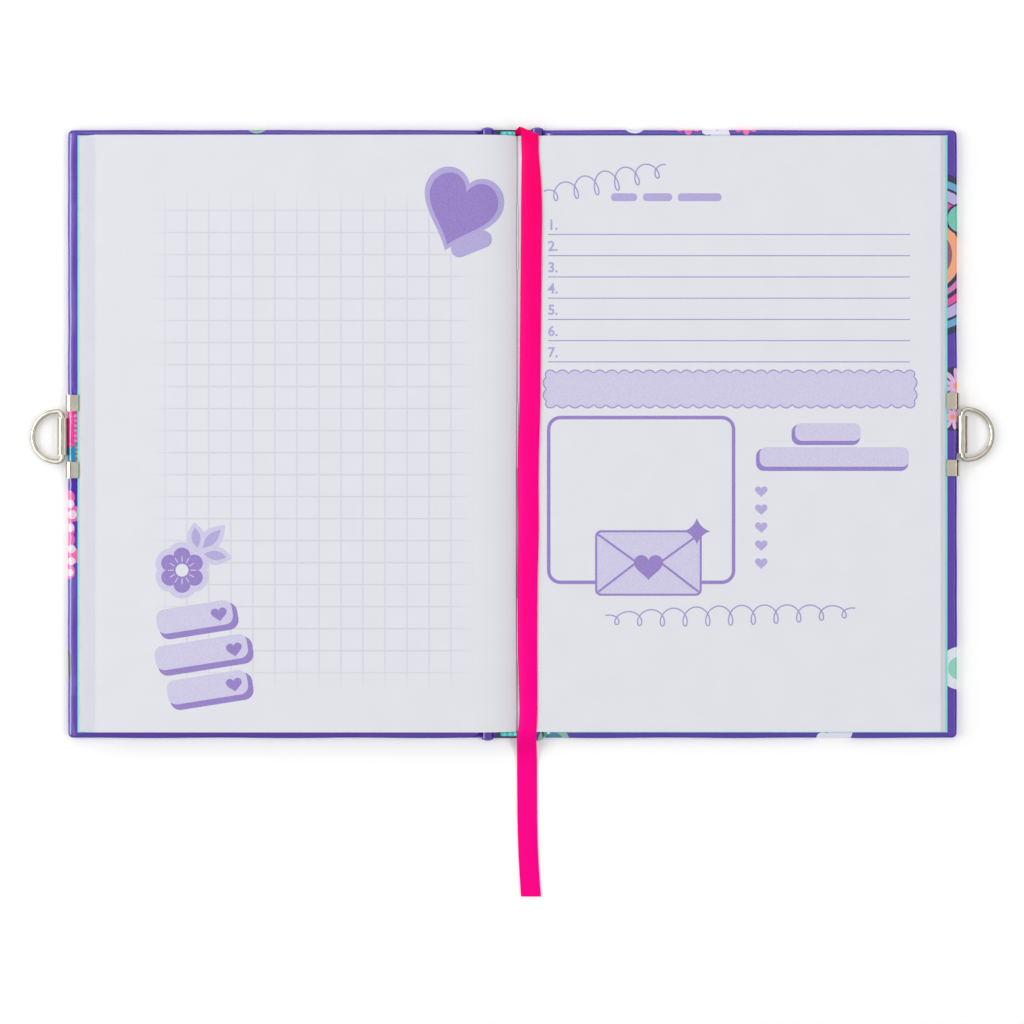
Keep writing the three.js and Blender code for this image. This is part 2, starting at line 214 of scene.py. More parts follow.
HALF_COVER = corners("front_wrap")[1][1]
HALF_PAGE = corners("right_leaf")[1][1]
COVER_TOP = corners("front_lining")[1][2]
RIGHT_PAGE_TOP = corners("right_leaf")[1][2]
HALF_BLOCK = corners("spine_cloth")[1][0]
RIBBON_THICKNESS = 0.3
RIBBON_WIDTH = 6.75
RIBBON_LIFT = 0.46
ribbon_top = RIGHT_PAGE_TOP + RIBBON_LIFT
# Its middle, from the slip inside the spine over the head and down to its cut end
ribbon_route = np.array([
    [1.9, HALF_COVER - 3.4, COVER_TOP - 0.48],
    [1.9, HALF_COVER - 1.2, COVER_TOP - 0.45],
    [2.1, HALF_COVER, COVER_TOP - 0.1],
    [2.6, HALF_COVER + 0.6, COVER_TOP + 0.7],
    [3.3, HALF_COVER + 0.5, ribbon_top - 0.55],
    [4.2, HALF_COVER - 0.2, ribbon_top + 0.05],
    [5.0, HALF_PAGE + 0.85, ribbon_top + 0.3],
    [5.5, HALF_PAGE - 1.15, ribbon_top + 0.15],
    [5.8, HALF_PAGE - 4.8, ribbon_top],
    [6.1, HALF_PAGE - 12.7, ribbon_top],
    [6.25, HALF_PAGE - 20.7, ribbon_top],
    [6.15, 60, ribbon_top],
    [5.95, 40, ribbon_top],
    [5.8, 22, ribbon_top],
    [5.65, 7, ribbon_top],
    [5.25, -6, ribbon_top],
    [5.15, -18, ribbon_top],
    [5.25, -30, ribbon_top],
    [4.95, -49, ribbon_top],
    [4.95, -HALF_PAGE + 27.7, ribbon_top],
    [5.15, -HALF_PAGE + 13.8, ribbon_top],
    [5.2, -HALF_PAGE + 5.8, ribbon_top],
    [4.95, -HALF_PAGE + 1.25, ribbon_top - 0.05],
    [4.7, -HALF_PAGE - 0.85, ribbon_top - 0.35],
    [4.65, -HALF_COVER - 0.4, COVER_TOP + 0.9],
    [4.7, -HALF_COVER - 2.4, COVER_TOP - 0.3],
    [4.75, -HALF_COVER - 4.6, 1.1],
    [4.8, -HALF_COVER - 7.6, 0.5],
    [4.8, -HALF_COVER - 12, 0.3],
    [4.85, -HALF_COVER - 20, 0.3],
    [4.95, -HALF_COVER - 29, 0.3],
    [5.2, -HALF_COVER - 37.5, 0.3],
    [5.6, -HALF_COVER - 45, 0.3],
    [6.1, -HALF_COVER - 52.3, 0.3],
])
# Over the head the two edges go their own ways: each row is the left edge's and the right edge's
# place from the route
ribbon_fold = np.array([
    [-3.2, -0.2, -0.04, 3.3, -0.8, -0.04],
    [-2.2, -0.6, 0.0, 4.0, -1.9, -0.02],
    [-1.35, -0.5, 0.1, 4.6, -2.1, -0.15],
    [-0.9, -0.2, 0.1, 4.9, -2.35, -0.35],
    [-0.9, 0.25, 0.2, 4.8, -2.2, -0.3],
    [-1.5, 0.4, 0.3, 4.3, -1.8, -0.2],
    [-2.2, 0.2, 0.2, 3.6, -1.4, -0.3],
    [-2.65, 0.0, 0.05, 3.15, -0.7, -0.25],
])
# Below it the half width as it is seen from above, where the ribbon lies tilted or flat
ribbon_half_widths = np.array([
    2.82, 3.15, 3.42, 3.45, 3.46, 3.46, 3.46, 3.48, 3.46, 3.42, 3.32, 3.2, 3.05,
    2.95, 3.02, 3.15, 3.2, 3.25, 3.28, 3.3, 3.3, 3.28, 3.27, 3.26, 3.27, 3.3,
])
RIBBON_STEP = 0.55
RIBBON_ACROSS = 13
GUTTER_SAG = 0.5
PAGE_SINK = 0.2
TABLE_SINK = 0.13
PICOT_PITCH = 1.1
PICOT_DEPTH = 0.07
SELVEDGE_THINNING = 0.5
RIPPLE = 0.05
RIPPLE_PITCH = 9.0

below = ribbon_half_widths[:, None]
level = np.zeros_like(below)
ribbon_edges = np.concatenate([
    ribbon_fold,
    np.concatenate([-below, level, level, below, level, level], axis=1),
])
on_page = np.clip(ribbon_route[:, 2] - COVER_TOP, 0, 1)
after_fold = np.clip(np.arange(len(ribbon_route)) - 6, 0, 2) / 2
sink = after_fold * (TABLE_SINK + (PAGE_SINK - TABLE_SINK) * on_page)
rows = np.concatenate([ribbon_route, ribbon_route], axis=1) + ribbon_edges
rows[:, [2, 5]] -= sink[:, None]
rows = np.concatenate([rows, (on_page * after_fold)[:, None]], axis=1)
rows = smooth_line(rows, ribbon_route, RIBBON_STEP)
left_edge = rows[:, 0:3]
right_edge = rows[:, 3:6]
ribbon_middle = (left_edge + right_edge) / 2
across = np.linspace(-1, 1, RIBBON_ACROSS)
along = np.arange(len(rows)) * RIBBON_STEP
picot = 1 + PICOT_DEPTH / RIBBON_WIDTH * np.sin(2 * np.pi * along / PICOT_PITCH)
share = across[None, :, None] * np.where(abs(across) == 1, picot[:, None], 1)[..., None]
surface = ribbon_middle[:, None] + share * (right_edge - left_edge)[:, None] / 2
sag = GUTTER_SAG * np.clip(-across, 0, 1)[None, :] ** 2 * rows[:, 6][:, None]
ripple = RIPPLE * np.sin(along / RIPPLE_PITCH)[:, None] * np.cos(across * 2.2) * rows[:, 6:]
surface[..., 2] += ripple - sag
run = np.gradient(surface, axis=0)
side = np.gradient(surface, axis=1)
normal = np.cross(side, run)
normal /= np.linalg.norm(normal, axis=2, keepdims=True)
edge_thin = (1 - SELVEDGE_THINNING * abs(across) ** 8)[None, :, None]
half = normal * edge_thin * RIBBON_THICKNESS / 2

# Satin: long floats of bright yarn along the ribbon over a fine crosswise weft. Their soft
# lengthwise sheen is painted into the colour, as magenta streaks along the ribbon. The weft is
# really about 0.2 mm apart, drawn at 0.55 mm so that it shows.
WEFT_PITCH = 0.55
satin, tree, shader = start_material("polyester satin", Roughness=0.5, Specular_IOR_Level=0.05)
place = add(tree, "UVMap", uv_map="sheet")
down = add(tree, "SeparateXYZ", {0: place}, output="Y")
weft = add(tree, "Math", {0: down, 1: 2 * np.pi / WEFT_PITCH}, operation="MULTIPLY")
weft = add(tree, "Math", {0: weft}, operation="SINE")
stretch = add(tree, "Mapping", {"Vector": place, "Scale": (1.6, 0.05, 1.0)})
# Painted sheen: streaks along the ribbon, mixed into its colour
sheen_streaks = add(tree, "TexNoise", {"Vector": stretch, "Scale": 1.0, "Detail": 3.0})
fade = add(tree, "MapRange", {0: down, 1: 10.0, 2: 120.0, 3: 0.0, 4: 1.0})
tone = add(tree, "Mix", {0: fade, 6: srgb("#FF0054"), 7: srgb("#FF0086")}, data_type="RGBA")
shade = add(tree, "MapRange", {0: sheen_streaks, 1: 0.3, 2: 0.7, 3: 0.0, 4: 0.6})
sheen_painted = add(tree, "Mix", {0: shade, 6: tone, 7: srgb("#F5008F")}, data_type="RGBA")
dress(tree, shader, sheen_painted, weft, 0.35, 0.00004)

# The rows run from the head towards the foot, so the grid is turned over to face up
shape = slab((surface + half)[::-1], (surface - half)[::-1])
places = points_of(across * RIBBON_WIDTH / 2, along[::-1, None]).reshape(-1, 2)
ribbon = piece(
    "satin_ribbon", shape, satin, crease=60, uv=np.concatenate([places, places])
)
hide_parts("ribbon_bookmark")
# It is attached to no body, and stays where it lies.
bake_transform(ribbon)

# Greyboard stiffens the covers and the spine: pressed waste paper, grey-brown and flecked. Each
# cover board is cut square, with its edges crushed round by the wrapping, and pressed in under
# the clasp plate.
WRAP_THICKNESS = 0.25
GLUE_LINE = 0.02
BOARD_INNER = -corners("front_wrap")[1][0]
COVER_REACH = -corners("front_wrap")[0][0]
COVER_CUTS = (34, 50)
WRAP_TOP = corners("front_wrap")[1][2]
EDGE_RADIUS = 1.1
EDGE_SHOULDER = 1.7
EDGE_DENT = 0.12
EDGE_WANDER = 0.05
TURN_IN = 15.0
SEAT_DEPTH = 12.05
SEAT_HALF_SPAN = 13.7
SEAT_HEIGHT = 0.67
CORNER_STEPS = 7
PROFILE_STEPS = 9
SEAT_WALL = 0.06
clasp_places = {
    j["name"].split("_")[0]: np.array(j["pos_m"]) / MM
    for j in frame["joints"]
    if j["name"].endswith("ring_swing")
}
sides = {"front": -1, "back": 1}


def cover_form(side, clasp_y, inset=0.0, window=False):
    """The skin of a cover, or of what lies inset in it, open at the spine: a grid below, a grid
    above, and between them an edge profile of a quarter circle, an upright and a wider quarter
    ellipse, carried along three sides and turned through a quarter turn at each corner. The grid
    below steps up to the seat of the clasp plate, and the grid above may have a window inside the
    turned-in strips."""
    high = WRAP_TOP - inset
    radius = EDGE_RADIUS - inset
    seat_height = SEAT_HEIGHT + inset
    shoulder = EDGE_SHOULDER - inset
    outer = COVER_REACH - inset - shoulder
    end = HALF_COVER - inset - shoulder
    seat_x = COVER_REACH - SEAT_DEPTH
    seat_y = np.array([clasp_y - SEAT_HALF_SPAN, clasp_y + SEAT_HALF_SPAN])
    turn_x = COVER_REACH - TURN_IN
    turn_y = HALF_COVER - TURN_IN
    wall = np.array([-SEAT_WALL, SEAT_WALL])
    x = np.unique(
        np.concatenate([np.linspace(BOARD_INNER, outer, COVER_CUTS[0]), seat_x + wall, [turn_x]])
    )
    y = np.unique(
        np.concatenate([
            np.linspace(-end, end, COVER_CUTS[1]),
            seat_y[0] + wall,
            seat_y[1] + wall,
            [-turn_y, turn_y],
        ])
    )
    grid_x, grid_y = np.meshgrid(x, y)
    in_seat = (grid_x > seat_x) & (grid_y > seat_y[0]) & (grid_y < seat_y[1])
    bottom = points_of(grid_x, grid_y, np.where(in_seat, seat_height, inset))
    top = points_of(grid_x, grid_y, high)
    faces = grid_faces(len(y), len(x))
    middle = top.reshape(-1, 3)[faces].mean(axis=1)
    hidden = window & (middle[:, 0] < turn_x) & (abs(middle[:, 1]) < turn_y)

    a = np.linspace(0, np.pi / 2, PROFILE_STEPS)
    reach = np.concatenate([[0], shoulder - radius * (1 - np.sin(a)), shoulder * np.cos(a)])
    rise = np.concatenate([
        [inset], inset + radius * (1 - np.cos(a)), high - radius * (1 - np.sin(a))
    ])
    turn = np.linspace(-np.pi / 2, 0, CORNER_STEPS)
    corner = np.full(CORNER_STEPS, outer)
    strip = np.ones(len(x))
    base_x = np.concatenate([x, corner, np.full(len(y), outer), corner, x[::-1]])
    end_side = np.full(len(x) + CORNER_STEPS, end)
    base_y = np.concatenate([-end_side, y, end_side])
    angle = np.concatenate([-strip, turn / (np.pi / 2), 0 * y, turn / (np.pi / 2) + 1, strip])
    angle *= np.pi / 2
    # Along its run the edge swells and shrinks a little, and its crushed upper part is dented
    wander = 1 + EDGE_WANDER * np.sin(base_y / 5.3 + 1) * np.sin(base_y / 11 + base_x / 7)
    out = reach[:, None] * wander
    hollow = np.concatenate([np.zeros(1 + PROFILE_STEPS), np.sin(2 * a)])
    dent = 0.5 + 0.5 * np.sin(base_y / 6.1 + base_x / 8) * np.sin(base_y / 2.7 + base_x / 19 + 2)
    over_seat = (base_x == outer) & (base_y > seat_y[0]) & (base_y < seat_y[1])
    z = rise[:, None] - EDGE_DENT * hollow[:, None] * dent
    z = np.where(over_seat, np.maximum(z, seat_height), z)
    rim = points_of(base_x + out * np.cos(angle), base_y + out * np.sin(angle), z)
    points, quads = joined([
        (bottom.reshape(-1, 3), faces[:, ::-1]),
        (top.reshape(-1, 3), faces[~hidden]),
        (rim.reshape(-1, 3), grid_faces(len(reach), len(base_x))),
    ])
    used, quads = np.unique(quads, return_inverse=True)
    points = points[used] * (side, 1, 1)
    quads = quads.reshape(-1, 4)
    return points, quads if side > 0 else quads[:, ::-1]


def grained(name, colours, inputs, spread=(0, 1), relief=None, sheet=False, wave=None, **constants):
    """A material that runs from one colour to another as its grain goes through spread. The grain
    is a noise, or a wave with its bands along an axis, with the given inputs. It is read in metres,
    or in millimetres on the sheet. The relief that it makes has a strength and a height in metres."""
    made, tree, shader = start_material(name, **constants)
    if sheet:
        place = add(tree, "UVMap", uv_map="sheet")
    else:
        place = add(tree, "TexCoord", output="Object")
    if wave:
        grain = add(tree, "TexWave", {"Vector": place, **inputs}, output=1, bands_direction=wave)
    else:
        grain = add(tree, "TexNoise", {"Vector": place, **inputs})
    first, second = map(srgb, colours)
    share = add(tree, "MapRange", {0: grain, 1: spread[0], 2: spread[1]})
    colour = add(tree, "Mix", {0: share, 6: first, 7: second}, data_type="RGBA")
    if relief:
        dress(tree, shader, colour, grain, *relief)
    else:
        tree.links.new(colour, shader.inputs["Base Color"])
    return made


FLECK = 0.8
greyboard = grained(
    "greyboard",
    ("#7E796F", "#9E978A"),
    {"Scale": 1 / (FLECK * MM), "Detail": 5.0},
    spread=(0.35, 0.65),
    relief=(0.3, 0.00005),
    Roughness=0.9,
)
frame["nodes"]["spine_board"].data.materials[0] = greyboard
for cover, side in sides.items():
    form = cover_form(side, clasp_places[cover][1], WRAP_THICKNESS + GLUE_LINE)
    board = piece(cover + "_greyboard", form, greyboard, close=True)
    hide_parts(cover + "_board")
    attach(board, cover + "_cover")

# The wrap is printed paper with a glossy film over it, glued round the boards and turned in 15 mm
# on three sides. It is purple, with a scatter of daisies, dots and ringed rounds in pink, white,
# mint, orange and navy, some of which run over the edges. The navy rounds at the spine's head and
# foot are painted shade, not print.
MOTIF_SPACING = 33.0
SCATTER_HALF = (129.0, 87.0)
NAVY = "#1B1550"


def print_motif(tree, place, ground, centre, radius, petals, bands):
    """Lays one round figure over the ground. Petals are their number and depth, and its rim lies
    at radius times (1 - depth + depth times the absolute value of cos(number times the angle / 2)),
    or at radius where it has none. Its bands are pairs of a share of that rim and a colour."""
    offset = add(tree, "VectorMath", {0: place, 1: centre}, operation="SUBTRACT")
    flat = add(tree, "VectorMath", {0: offset, 1: (1, 1, 0)}, operation="MULTIPLY")
    distance = add(tree, "VectorMath", {0: flat}, operation="LENGTH")
    size = add(tree, "Math", {0: distance, 1: radius}, operation="DIVIDE")
    if petals:
        number, depth = petals
        axes = add(tree, "SeparateXYZ", {0: offset}).node.outputs
        turn = add(tree, "Math", {0: axes["Y"], 1: axes["X"]}, operation="ARCTAN2")
        turn = add(tree, "Math", {0: turn, 1: number / 2}, operation="MULTIPLY")
        wave = add(tree, "Math", {0: turn}, operation="COSINE")
        wave = add(tree, "Math", {0: wave}, operation="ABSOLUTE")
        rim = add(tree, "Math", {0: wave, 1: depth, 2: 1 - depth}, operation="MULTIPLY_ADD")
        size = add(tree, "Math", {0: size, 1: rim}, operation="DIVIDE")
    for share, colour in bands:
        inside = add(tree, "Math", {0: size, 1: share}, operation="LESS_THAN")
        ground = add(tree, "Mix", {0: inside, 6: ground, 7: srgb(colour)}, data_type="RGBA")
    return ground


FULL = 0.32
SLIM = 0.62
PINK_DAISY = ((1.0, "#EE5FA8"), (0.3, "#FFF3F8"), (0.16, "#F7A13C"))
ROSE_DAISY = ((1.0, "#E65FA8"),)
WHITE_DAISY = ((1.0, "#E9E4F4"), (0.32, "#E8208F"))
LILAC_DAISY = ((1.0, "#DDAEDC"), (0.3, "#EE8A4B"))
MINT_ROUND = ((1.0, "#DDE2EC"), (0.55, "#86CFBC"))
MINT_LEAF = ((1.18, NAVY), (1.0, "#6FC0AC"))
TEAL_ROUND = ((1.0, "#86B3A4"), (0.6, "#3E7D9C"))
PINK_ROUND = ((1.0, "#EE3499"),)
BLUE_ROUND = ((1.0, "#1789AE"),)
NAVY_ROUND = ((1.0, NAVY),)
WHITE_SPOT = ((1.0, "#E6CBE0"),)
TEAL_SPOT = ((1.0, "#22C3B2"),)
ORANGE_SPOT = ((1.0, "#F2653A"),)
RAINBOW_ROUND = (
    (1.0, NAVY), (0.92, "#62A5CC"), (0.84, NAVY), (0.81, "#B7ADE0"), (0.69, NAVY),
    (0.675, "#E9409C"), (0.6, NAVY), (0.55, "#D873B4"), (0.49, NAVY), (0.44, "#F2A376"),
    (0.33, "#95506F"), (0.27, NAVY),
)
cover_motifs = {
    "front": (
        ((-150.0, -8.0), 8.2, 0, BLUE_ROUND), ((-149.5, 2.8), 8.4, 0, PINK_ROUND),
        *(((-143.6, 6.0 - 1.65 * i), 0.4, 0, TEAL_SPOT) for i in range(6)),
        *(((-143.2, -4.4 - 1.5 * i), 0.42, 0, ORANGE_SPOT) for i in range(4)),
        ((-150.4, -26.2), 9.2, (7, FULL), ROSE_DAISY), ((-150.4, -40.0), 9.2, (7, FULL), ROSE_DAISY),
        ((-145.4, -23.0), 1.4, 0, WHITE_SPOT), ((-144.7, -26.5), 1.5, 0, WHITE_SPOT),
        ((-145.4, -30.8), 1.4, 0, WHITE_SPOT), ((-145.0, -37.8), 1.4, 0, WHITE_SPOT),
        ((-145.0, -41.8), 1.3, 0, WHITE_SPOT), ((-145.5, -45.6), 1.2, 0, WHITE_SPOT),
        ((-156.8, -76.0), 12.0, 0, NAVY_ROUND), ((-84.0, 103.2), 4.4, 0, TEAL_ROUND),
    ),
    "back": (
        ((135.4, 58.9), 27.5, 0, RAINBOW_ROUND), ((147.4, 70.7), 4.4, 0, MINT_LEAF),
        ((146.4, 15.6), 6.6, 0, NAVY_ROUND), ((146.4, 15.8), 6.0, (11, SLIM), LILAC_DAISY),
        ((144.8, 5.4), 4.4, 0, NAVY_ROUND), ((144.8, 5.6), 4.2, (9, SLIM), LILAC_DAISY),
        ((147.0, -77.0), 7.0, 0, MINT_ROUND), ((67.5, 101.5), 5.6, (7, FULL), WHITE_DAISY),
        ((57.8, 103.2), 5.0, (8, FULL), PINK_DAISY), ((76.8, 102.8), 4.6, (8, FULL), PINK_DAISY),
        ((40.2, 103.0), 4.2, 0, MINT_ROUND), ((106.6, -102.2), 7.2, (7, FULL), WHITE_DAISY),
        ((13.5, -101.2), 5.2, 0, TEAL_ROUND),
    ),
    "spine": (
        # Painted shade: these two navy rounds darken the spine's ends between the joint ridges
        ((0.0, 101.0), 6.1, 0, NAVY_ROUND), ((0.0, -101.0), 6.1, 0, NAVY_ROUND),
        ((13.5, -101.2), 5.2, 0, TEAL_ROUND),
    ),
}
# Each layer of the scatter: the shift of its cells, how far a figure strays in its cell, and the
# figures of a cell with their places from its middle
SCATTER = (
    (
        (MOTIF_SPACING / 2, MOTIF_SPACING / 2, 0),
        0.2,
        (((0, 0, 0), 4.6, (6, FULL), WHITE_DAISY), ((7.5, -5.5, 0), 2.0, 0, MINT_ROUND)),
    ),
    ((0, 0, 0), 0.35, (((0, 0, 0), 9.5, (8, FULL), PINK_DAISY),)),
)


def laminate_material(name, motifs):
    """Glossy laminated paper: the printed colours under a clear film whose slight orange peel comes
    from the glue. The scattered figures sit in the cells of Voronoi patterns, and a cell whose
    middle lies near the covers' edges stays empty."""
    made, tree, shader = start_material(
        name,
        Roughness=0.4,
        Specular_IOR_Level=0.05,
        Coat_Weight=1.0,
        Coat_Roughness=0.08,
        Coat_IOR=1.55,
    )
    metres = add(tree, "TexCoord", output="Object")
    place = add(tree, "VectorMath", {0: metres, "Scale": 1 / MM}, operation="SCALE")
    mottle = add(tree, "TexNoise", {"Vector": metres, "Scale": 90.0, "Detail": 4.0})
    ground = add(tree, "Mix", {0: mottle, 6: srgb("#48209A"), 7: srgb("#5630AC")}, data_type="RGBA")
    for shift, stray, figures in SCATTER:
        shifted = add(tree, "VectorMath", {0: place, 1: shift}, operation="ADD")
        cell = add(
            tree,
            "TexVoronoi",
            {"Vector": shifted, "Scale": 1 / MOTIF_SPACING, "Randomness": stray},
            output="Position",
            voronoi_dimensions="2D",
        )
        middle = add(tree, "VectorMath", {0: cell, 1: shift}, operation="SUBTRACT")
        reach = add(tree, "VectorMath", {0: middle, 1: (*SCATTER_HALF, 1e6)}, operation="DIVIDE")
        reach = add(tree, "VectorMath", {0: reach}, operation="ABSOLUTE")
        axes = add(tree, "SeparateXYZ", {0: reach}).node.outputs
        far = add(tree, "Math", {0: axes["X"], 1: axes["Y"]}, operation="MAXIMUM")
        far = add(tree, "Math", {0: far, 1: 1.0}, operation="GREATER_THAN")
        printed = ground
        for offset, radius, petals, bands in figures:
            centre = add(tree, "VectorMath", {0: middle, 1: offset}, operation="ADD")
            printed = print_motif(tree, place, printed, centre, radius, petals, bands)
        ground = add(tree, "Mix", {0: far, 6: printed, 7: ground}, data_type="RGBA")
    for (x, y), radius, petals, bands in motifs:
        ground = print_motif(tree, place, ground, (x, y, 0), radius, petals, bands)
    peel = add(tree, "TexNoise", {"Vector": metres, "Scale": 260.0, "Detail": 2.0})
    bump = dress(tree, shader, ground, peel, 0.25, 0.0002)
    tree.links.new(bump, shader.inputs["Coat Normal"])
    return made


laminates = {
    name: laminate_material("laminated paper of the " + name, motifs)
    for name, motifs in cover_motifs.items()
}
for cover, side in sides.items():
    form = cover_form(side, clasp_places[cover][1], window=True)
    wrap = piece(cover + "_cover_wrap", form, laminates[cover], crease=50)
    shell = wrap.modifiers.new("thickness", "SOLIDIFY")
    shell.thickness = WRAP_THICKNESS * MM
    shell.offset = -1
    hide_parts(cover + "_wrap")
    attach(wrap, cover + "_cover")
frame["nodes"]["spine_wrap"].data.materials[0] = laminates["spine"]

# At each corner the head or foot strip is turned in first, and the fore-edge strip over it, with
# its end nipped back on a slant. It shows as a low crease that dies away from the corner.
TUCK_HEIGHT = 0.16
TUCK_SLANT = 0.23
TUCK_NIP = 0.15
TUCK_REACH = 8.3
TUCK_LENGTH = 6.0
LINING_SIDE = COVER_REACH + corners("front_lining")[0][0]
LINING_END = HALF_COVER - corners("front_lining")[1][1]
for cover, side in sides.items():
    tucks = []
    for end in (-1, 1):
        # Distances in from the fore-edge. Past the lining's side edge only a rim is left uncovered
        inward = np.array([1.7, 2.2, 2.7, LINING_SIDE + 0.3, LINING_SIDE + 0.31, 5.0, TUCK_REACH])
        first = TUCK_SLANT * inward + TUCK_NIP
        last = np.where(inward < LINING_SIDE + 0.305, TUCK_LENGTH, LINING_END + 0.1)
        down = np.linspace(0, 1, 9)[:, None]
        from_end = first + (last - first) * down
        x = side * (COVER_REACH - inward)
        y = end * (HALF_COVER - from_end)
        fade = 1 - np.clip((from_end - first) / TUCK_LENGTH, 0, 1)
        rise = TUCK_HEIGHT * fade * np.clip((inward - 1.6) / 0.5, 0, 1)
        points, faces = slab(points_of(x, y, WRAP_TOP + rise), points_of(x, y, WRAP_TOP - 0.1))
        tucks.append((points, faces if side * end > 0 else faces[:, ::-1]))
    tuck = piece(cover + "_corner_tucks", joined(tucks), laminates[cover])
    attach(tuck, cover + "_cover")

# Aqua lining sheets are pasted inside the covers: uncoated coloured paper with a faint fibre.
FIBRE = 1.2
lining_paper = grained(
    "aqua lining paper",
    ("#7ADCD2", "#93E6DE"),
    {"Scale": 1 / (FIBRE * MM), "Detail": 6.0},
    relief=(0.2, 0.00003),
    Roughness=0.75,
)
for cover in sides:
    frame["nodes"][cover + "_lining"].data.materials[0] = lining_paper

# Between board and spine the wrap has no board behind it. With the case open flat it is pushed up
# into a rounded ridge, which swells a little where it is turned in at the head and foot.
JOINT_STEPS = 20
JOINT_CLOTH = 0.4
RIDGE_SWELL = 0.05
RIDGE_DOME = 0.7
DOME_FLOOR = 0.2
RIDGE_SQUARE = 0.7
RIDGE_OVERHANG = 0.3
SWELL_PLACE = 1.8
SWELL_REACH = 2.2
joint_low, joint_high = corners("back_joint")
joint_half = (joint_high[0] - joint_low[0]) / 2
joint_middle = (joint_high[0] + joint_low[0]) / 2
joint_foot = WRAP_THICKNESS
joint_rise = joint_high[2] - joint_foot
for cover, side in sides.items():
    end = joint_high[1] + RIDGE_OVERHANG
    y = np.concatenate([
        -end + RIDGE_DOME * (1 - np.cos(np.linspace(0, np.pi / 2, 9))),
        np.linspace(-end + 4, end - 4, 30),
        end - RIDGE_DOME * (1 - np.cos(np.linspace(np.pi / 2, 0, 9))),
    ])
    from_end = end - abs(y)
    dome = 1 - (1 - np.clip(from_end / RIDGE_DOME, 0, 1)) ** 2
    dome = np.sqrt(np.clip(dome, DOME_FLOOR, 1))
    swell = 1 + RIDGE_SWELL * np.clip(1 - abs(from_end - SWELL_PLACE) / SWELL_REACH, 0, 1)
    turn = np.linspace(np.pi, 0, JOINT_STEPS)
    bend = []
    for wall in (0.0, JOINT_CLOTH):
        half = (joint_half - wall) * np.minimum(dome * swell, 1)
        rise = (joint_rise - wall) * dome * swell
        flank = np.sign(np.cos(turn)) * abs(np.cos(turn)) ** RIDGE_SQUARE
        x = joint_middle + flank[None, :] * half[:, None]
        z = joint_foot + np.sin(turn)[None, :] ** RIDGE_SQUARE * rise[:, None]
        x = np.concatenate([x[:, :1], x, x[:, -1:]], axis=1)
        z = np.concatenate([0 * z[:, :1], z, 0 * z[:, -1:]], axis=1)
        bend.append(points_of(side * x, y[:, None], z))
    points, faces = slab(*bend)
    faces = faces if side > 0 else faces[:, ::-1]
    ridge = piece(cover + "_joint_ridge", (points, faces), laminates["spine"])
    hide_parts(cover + "_joint")
    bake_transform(ridge)

# The leaves are uncoated wood-free paper, 0.12 mm thick. Every leaf leaves the sewn spine upright
# and lies down flat. The higher it lies the further out it comes down and the further in it ends,
# so that the fore-edge fans.
LEAF_THICKNESS = 0.12
LEAF_GAP = 0.008
FOLD_SPREAD = 2.0
FOLD_STEPS = 27
FORE_EDGE_FALL = 1.3411
PAGE_LENGTH = 139.4
CUT_STRAY = 0.05
SEWN_STRAY = 0.06
jitter = np.random.default_rng(6)


def leaf_arrays(side, low, high, length, rows, columns):
    """Upper and lower grid of one leaf between two heights u above the cover. From the spine it is
    a quarter ellipse, out = half block + 2u - 3u cos(a) and up = u sin(a), and then it is flat."""
    angle = np.linspace(0, np.pi / 2, FOLD_STEPS)[None, :]
    y = np.linspace(-1, 1, rows)[:, None] * HALF_PAGE
    layers = []
    for height in (high, low):
        curve = HALF_BLOCK + FOLD_SPREAD * height - (1 + FOLD_SPREAD) * height * np.cos(angle)
        flat = np.linspace(curve[0, -1], length, columns + 1)[None, 1:]
        out = np.concatenate([curve, flat], axis=1)
        up = COVER_TOP + height * np.sin(np.concatenate([angle, np.full_like(flat, np.pi / 2)], axis=1))
        layers.append(points_of(side * out, y, up))
    return layers


def leaves(side, low, high, rows=2, columns=3):
    """Every leaf of a packet as one shape. Each takes an equal share of the packet's height, and is
    cut and sewn a little astray."""
    count = max(1, round((high - low) / LEAF_THICKNESS))
    parts = []
    for number in range(count):
        under = low + (high - low) * number / count + LEAF_GAP
        over = low + (high - low) * (number + 1) / count - LEAF_GAP
        fore_edge = HALF_BLOCK + PAGE_LENGTH - FORE_EDGE_FALL * (under + over) / 2
        length = fore_edge + jitter.uniform(-CUT_STRAY, CUT_STRAY)
        top, bottom = leaf_arrays(side, under, over, length, rows, columns)
        shift = jitter.uniform(-SEWN_STRAY, SEWN_STRAY)
        top[..., 1] += shift
        bottom[..., 1] += shift
        points, faces = slab(top, bottom)
        parts.append((points, faces if side > 0 else faces[:, ::-1]))
    return joined(parts)


def bend_at_fold(made):
    """Applies a piece's transform to its mesh, and leaves it attached to no body."""
    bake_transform(made)


GRID_COLOUR = "#D4D5DD"
GRID_FADE = 9.0


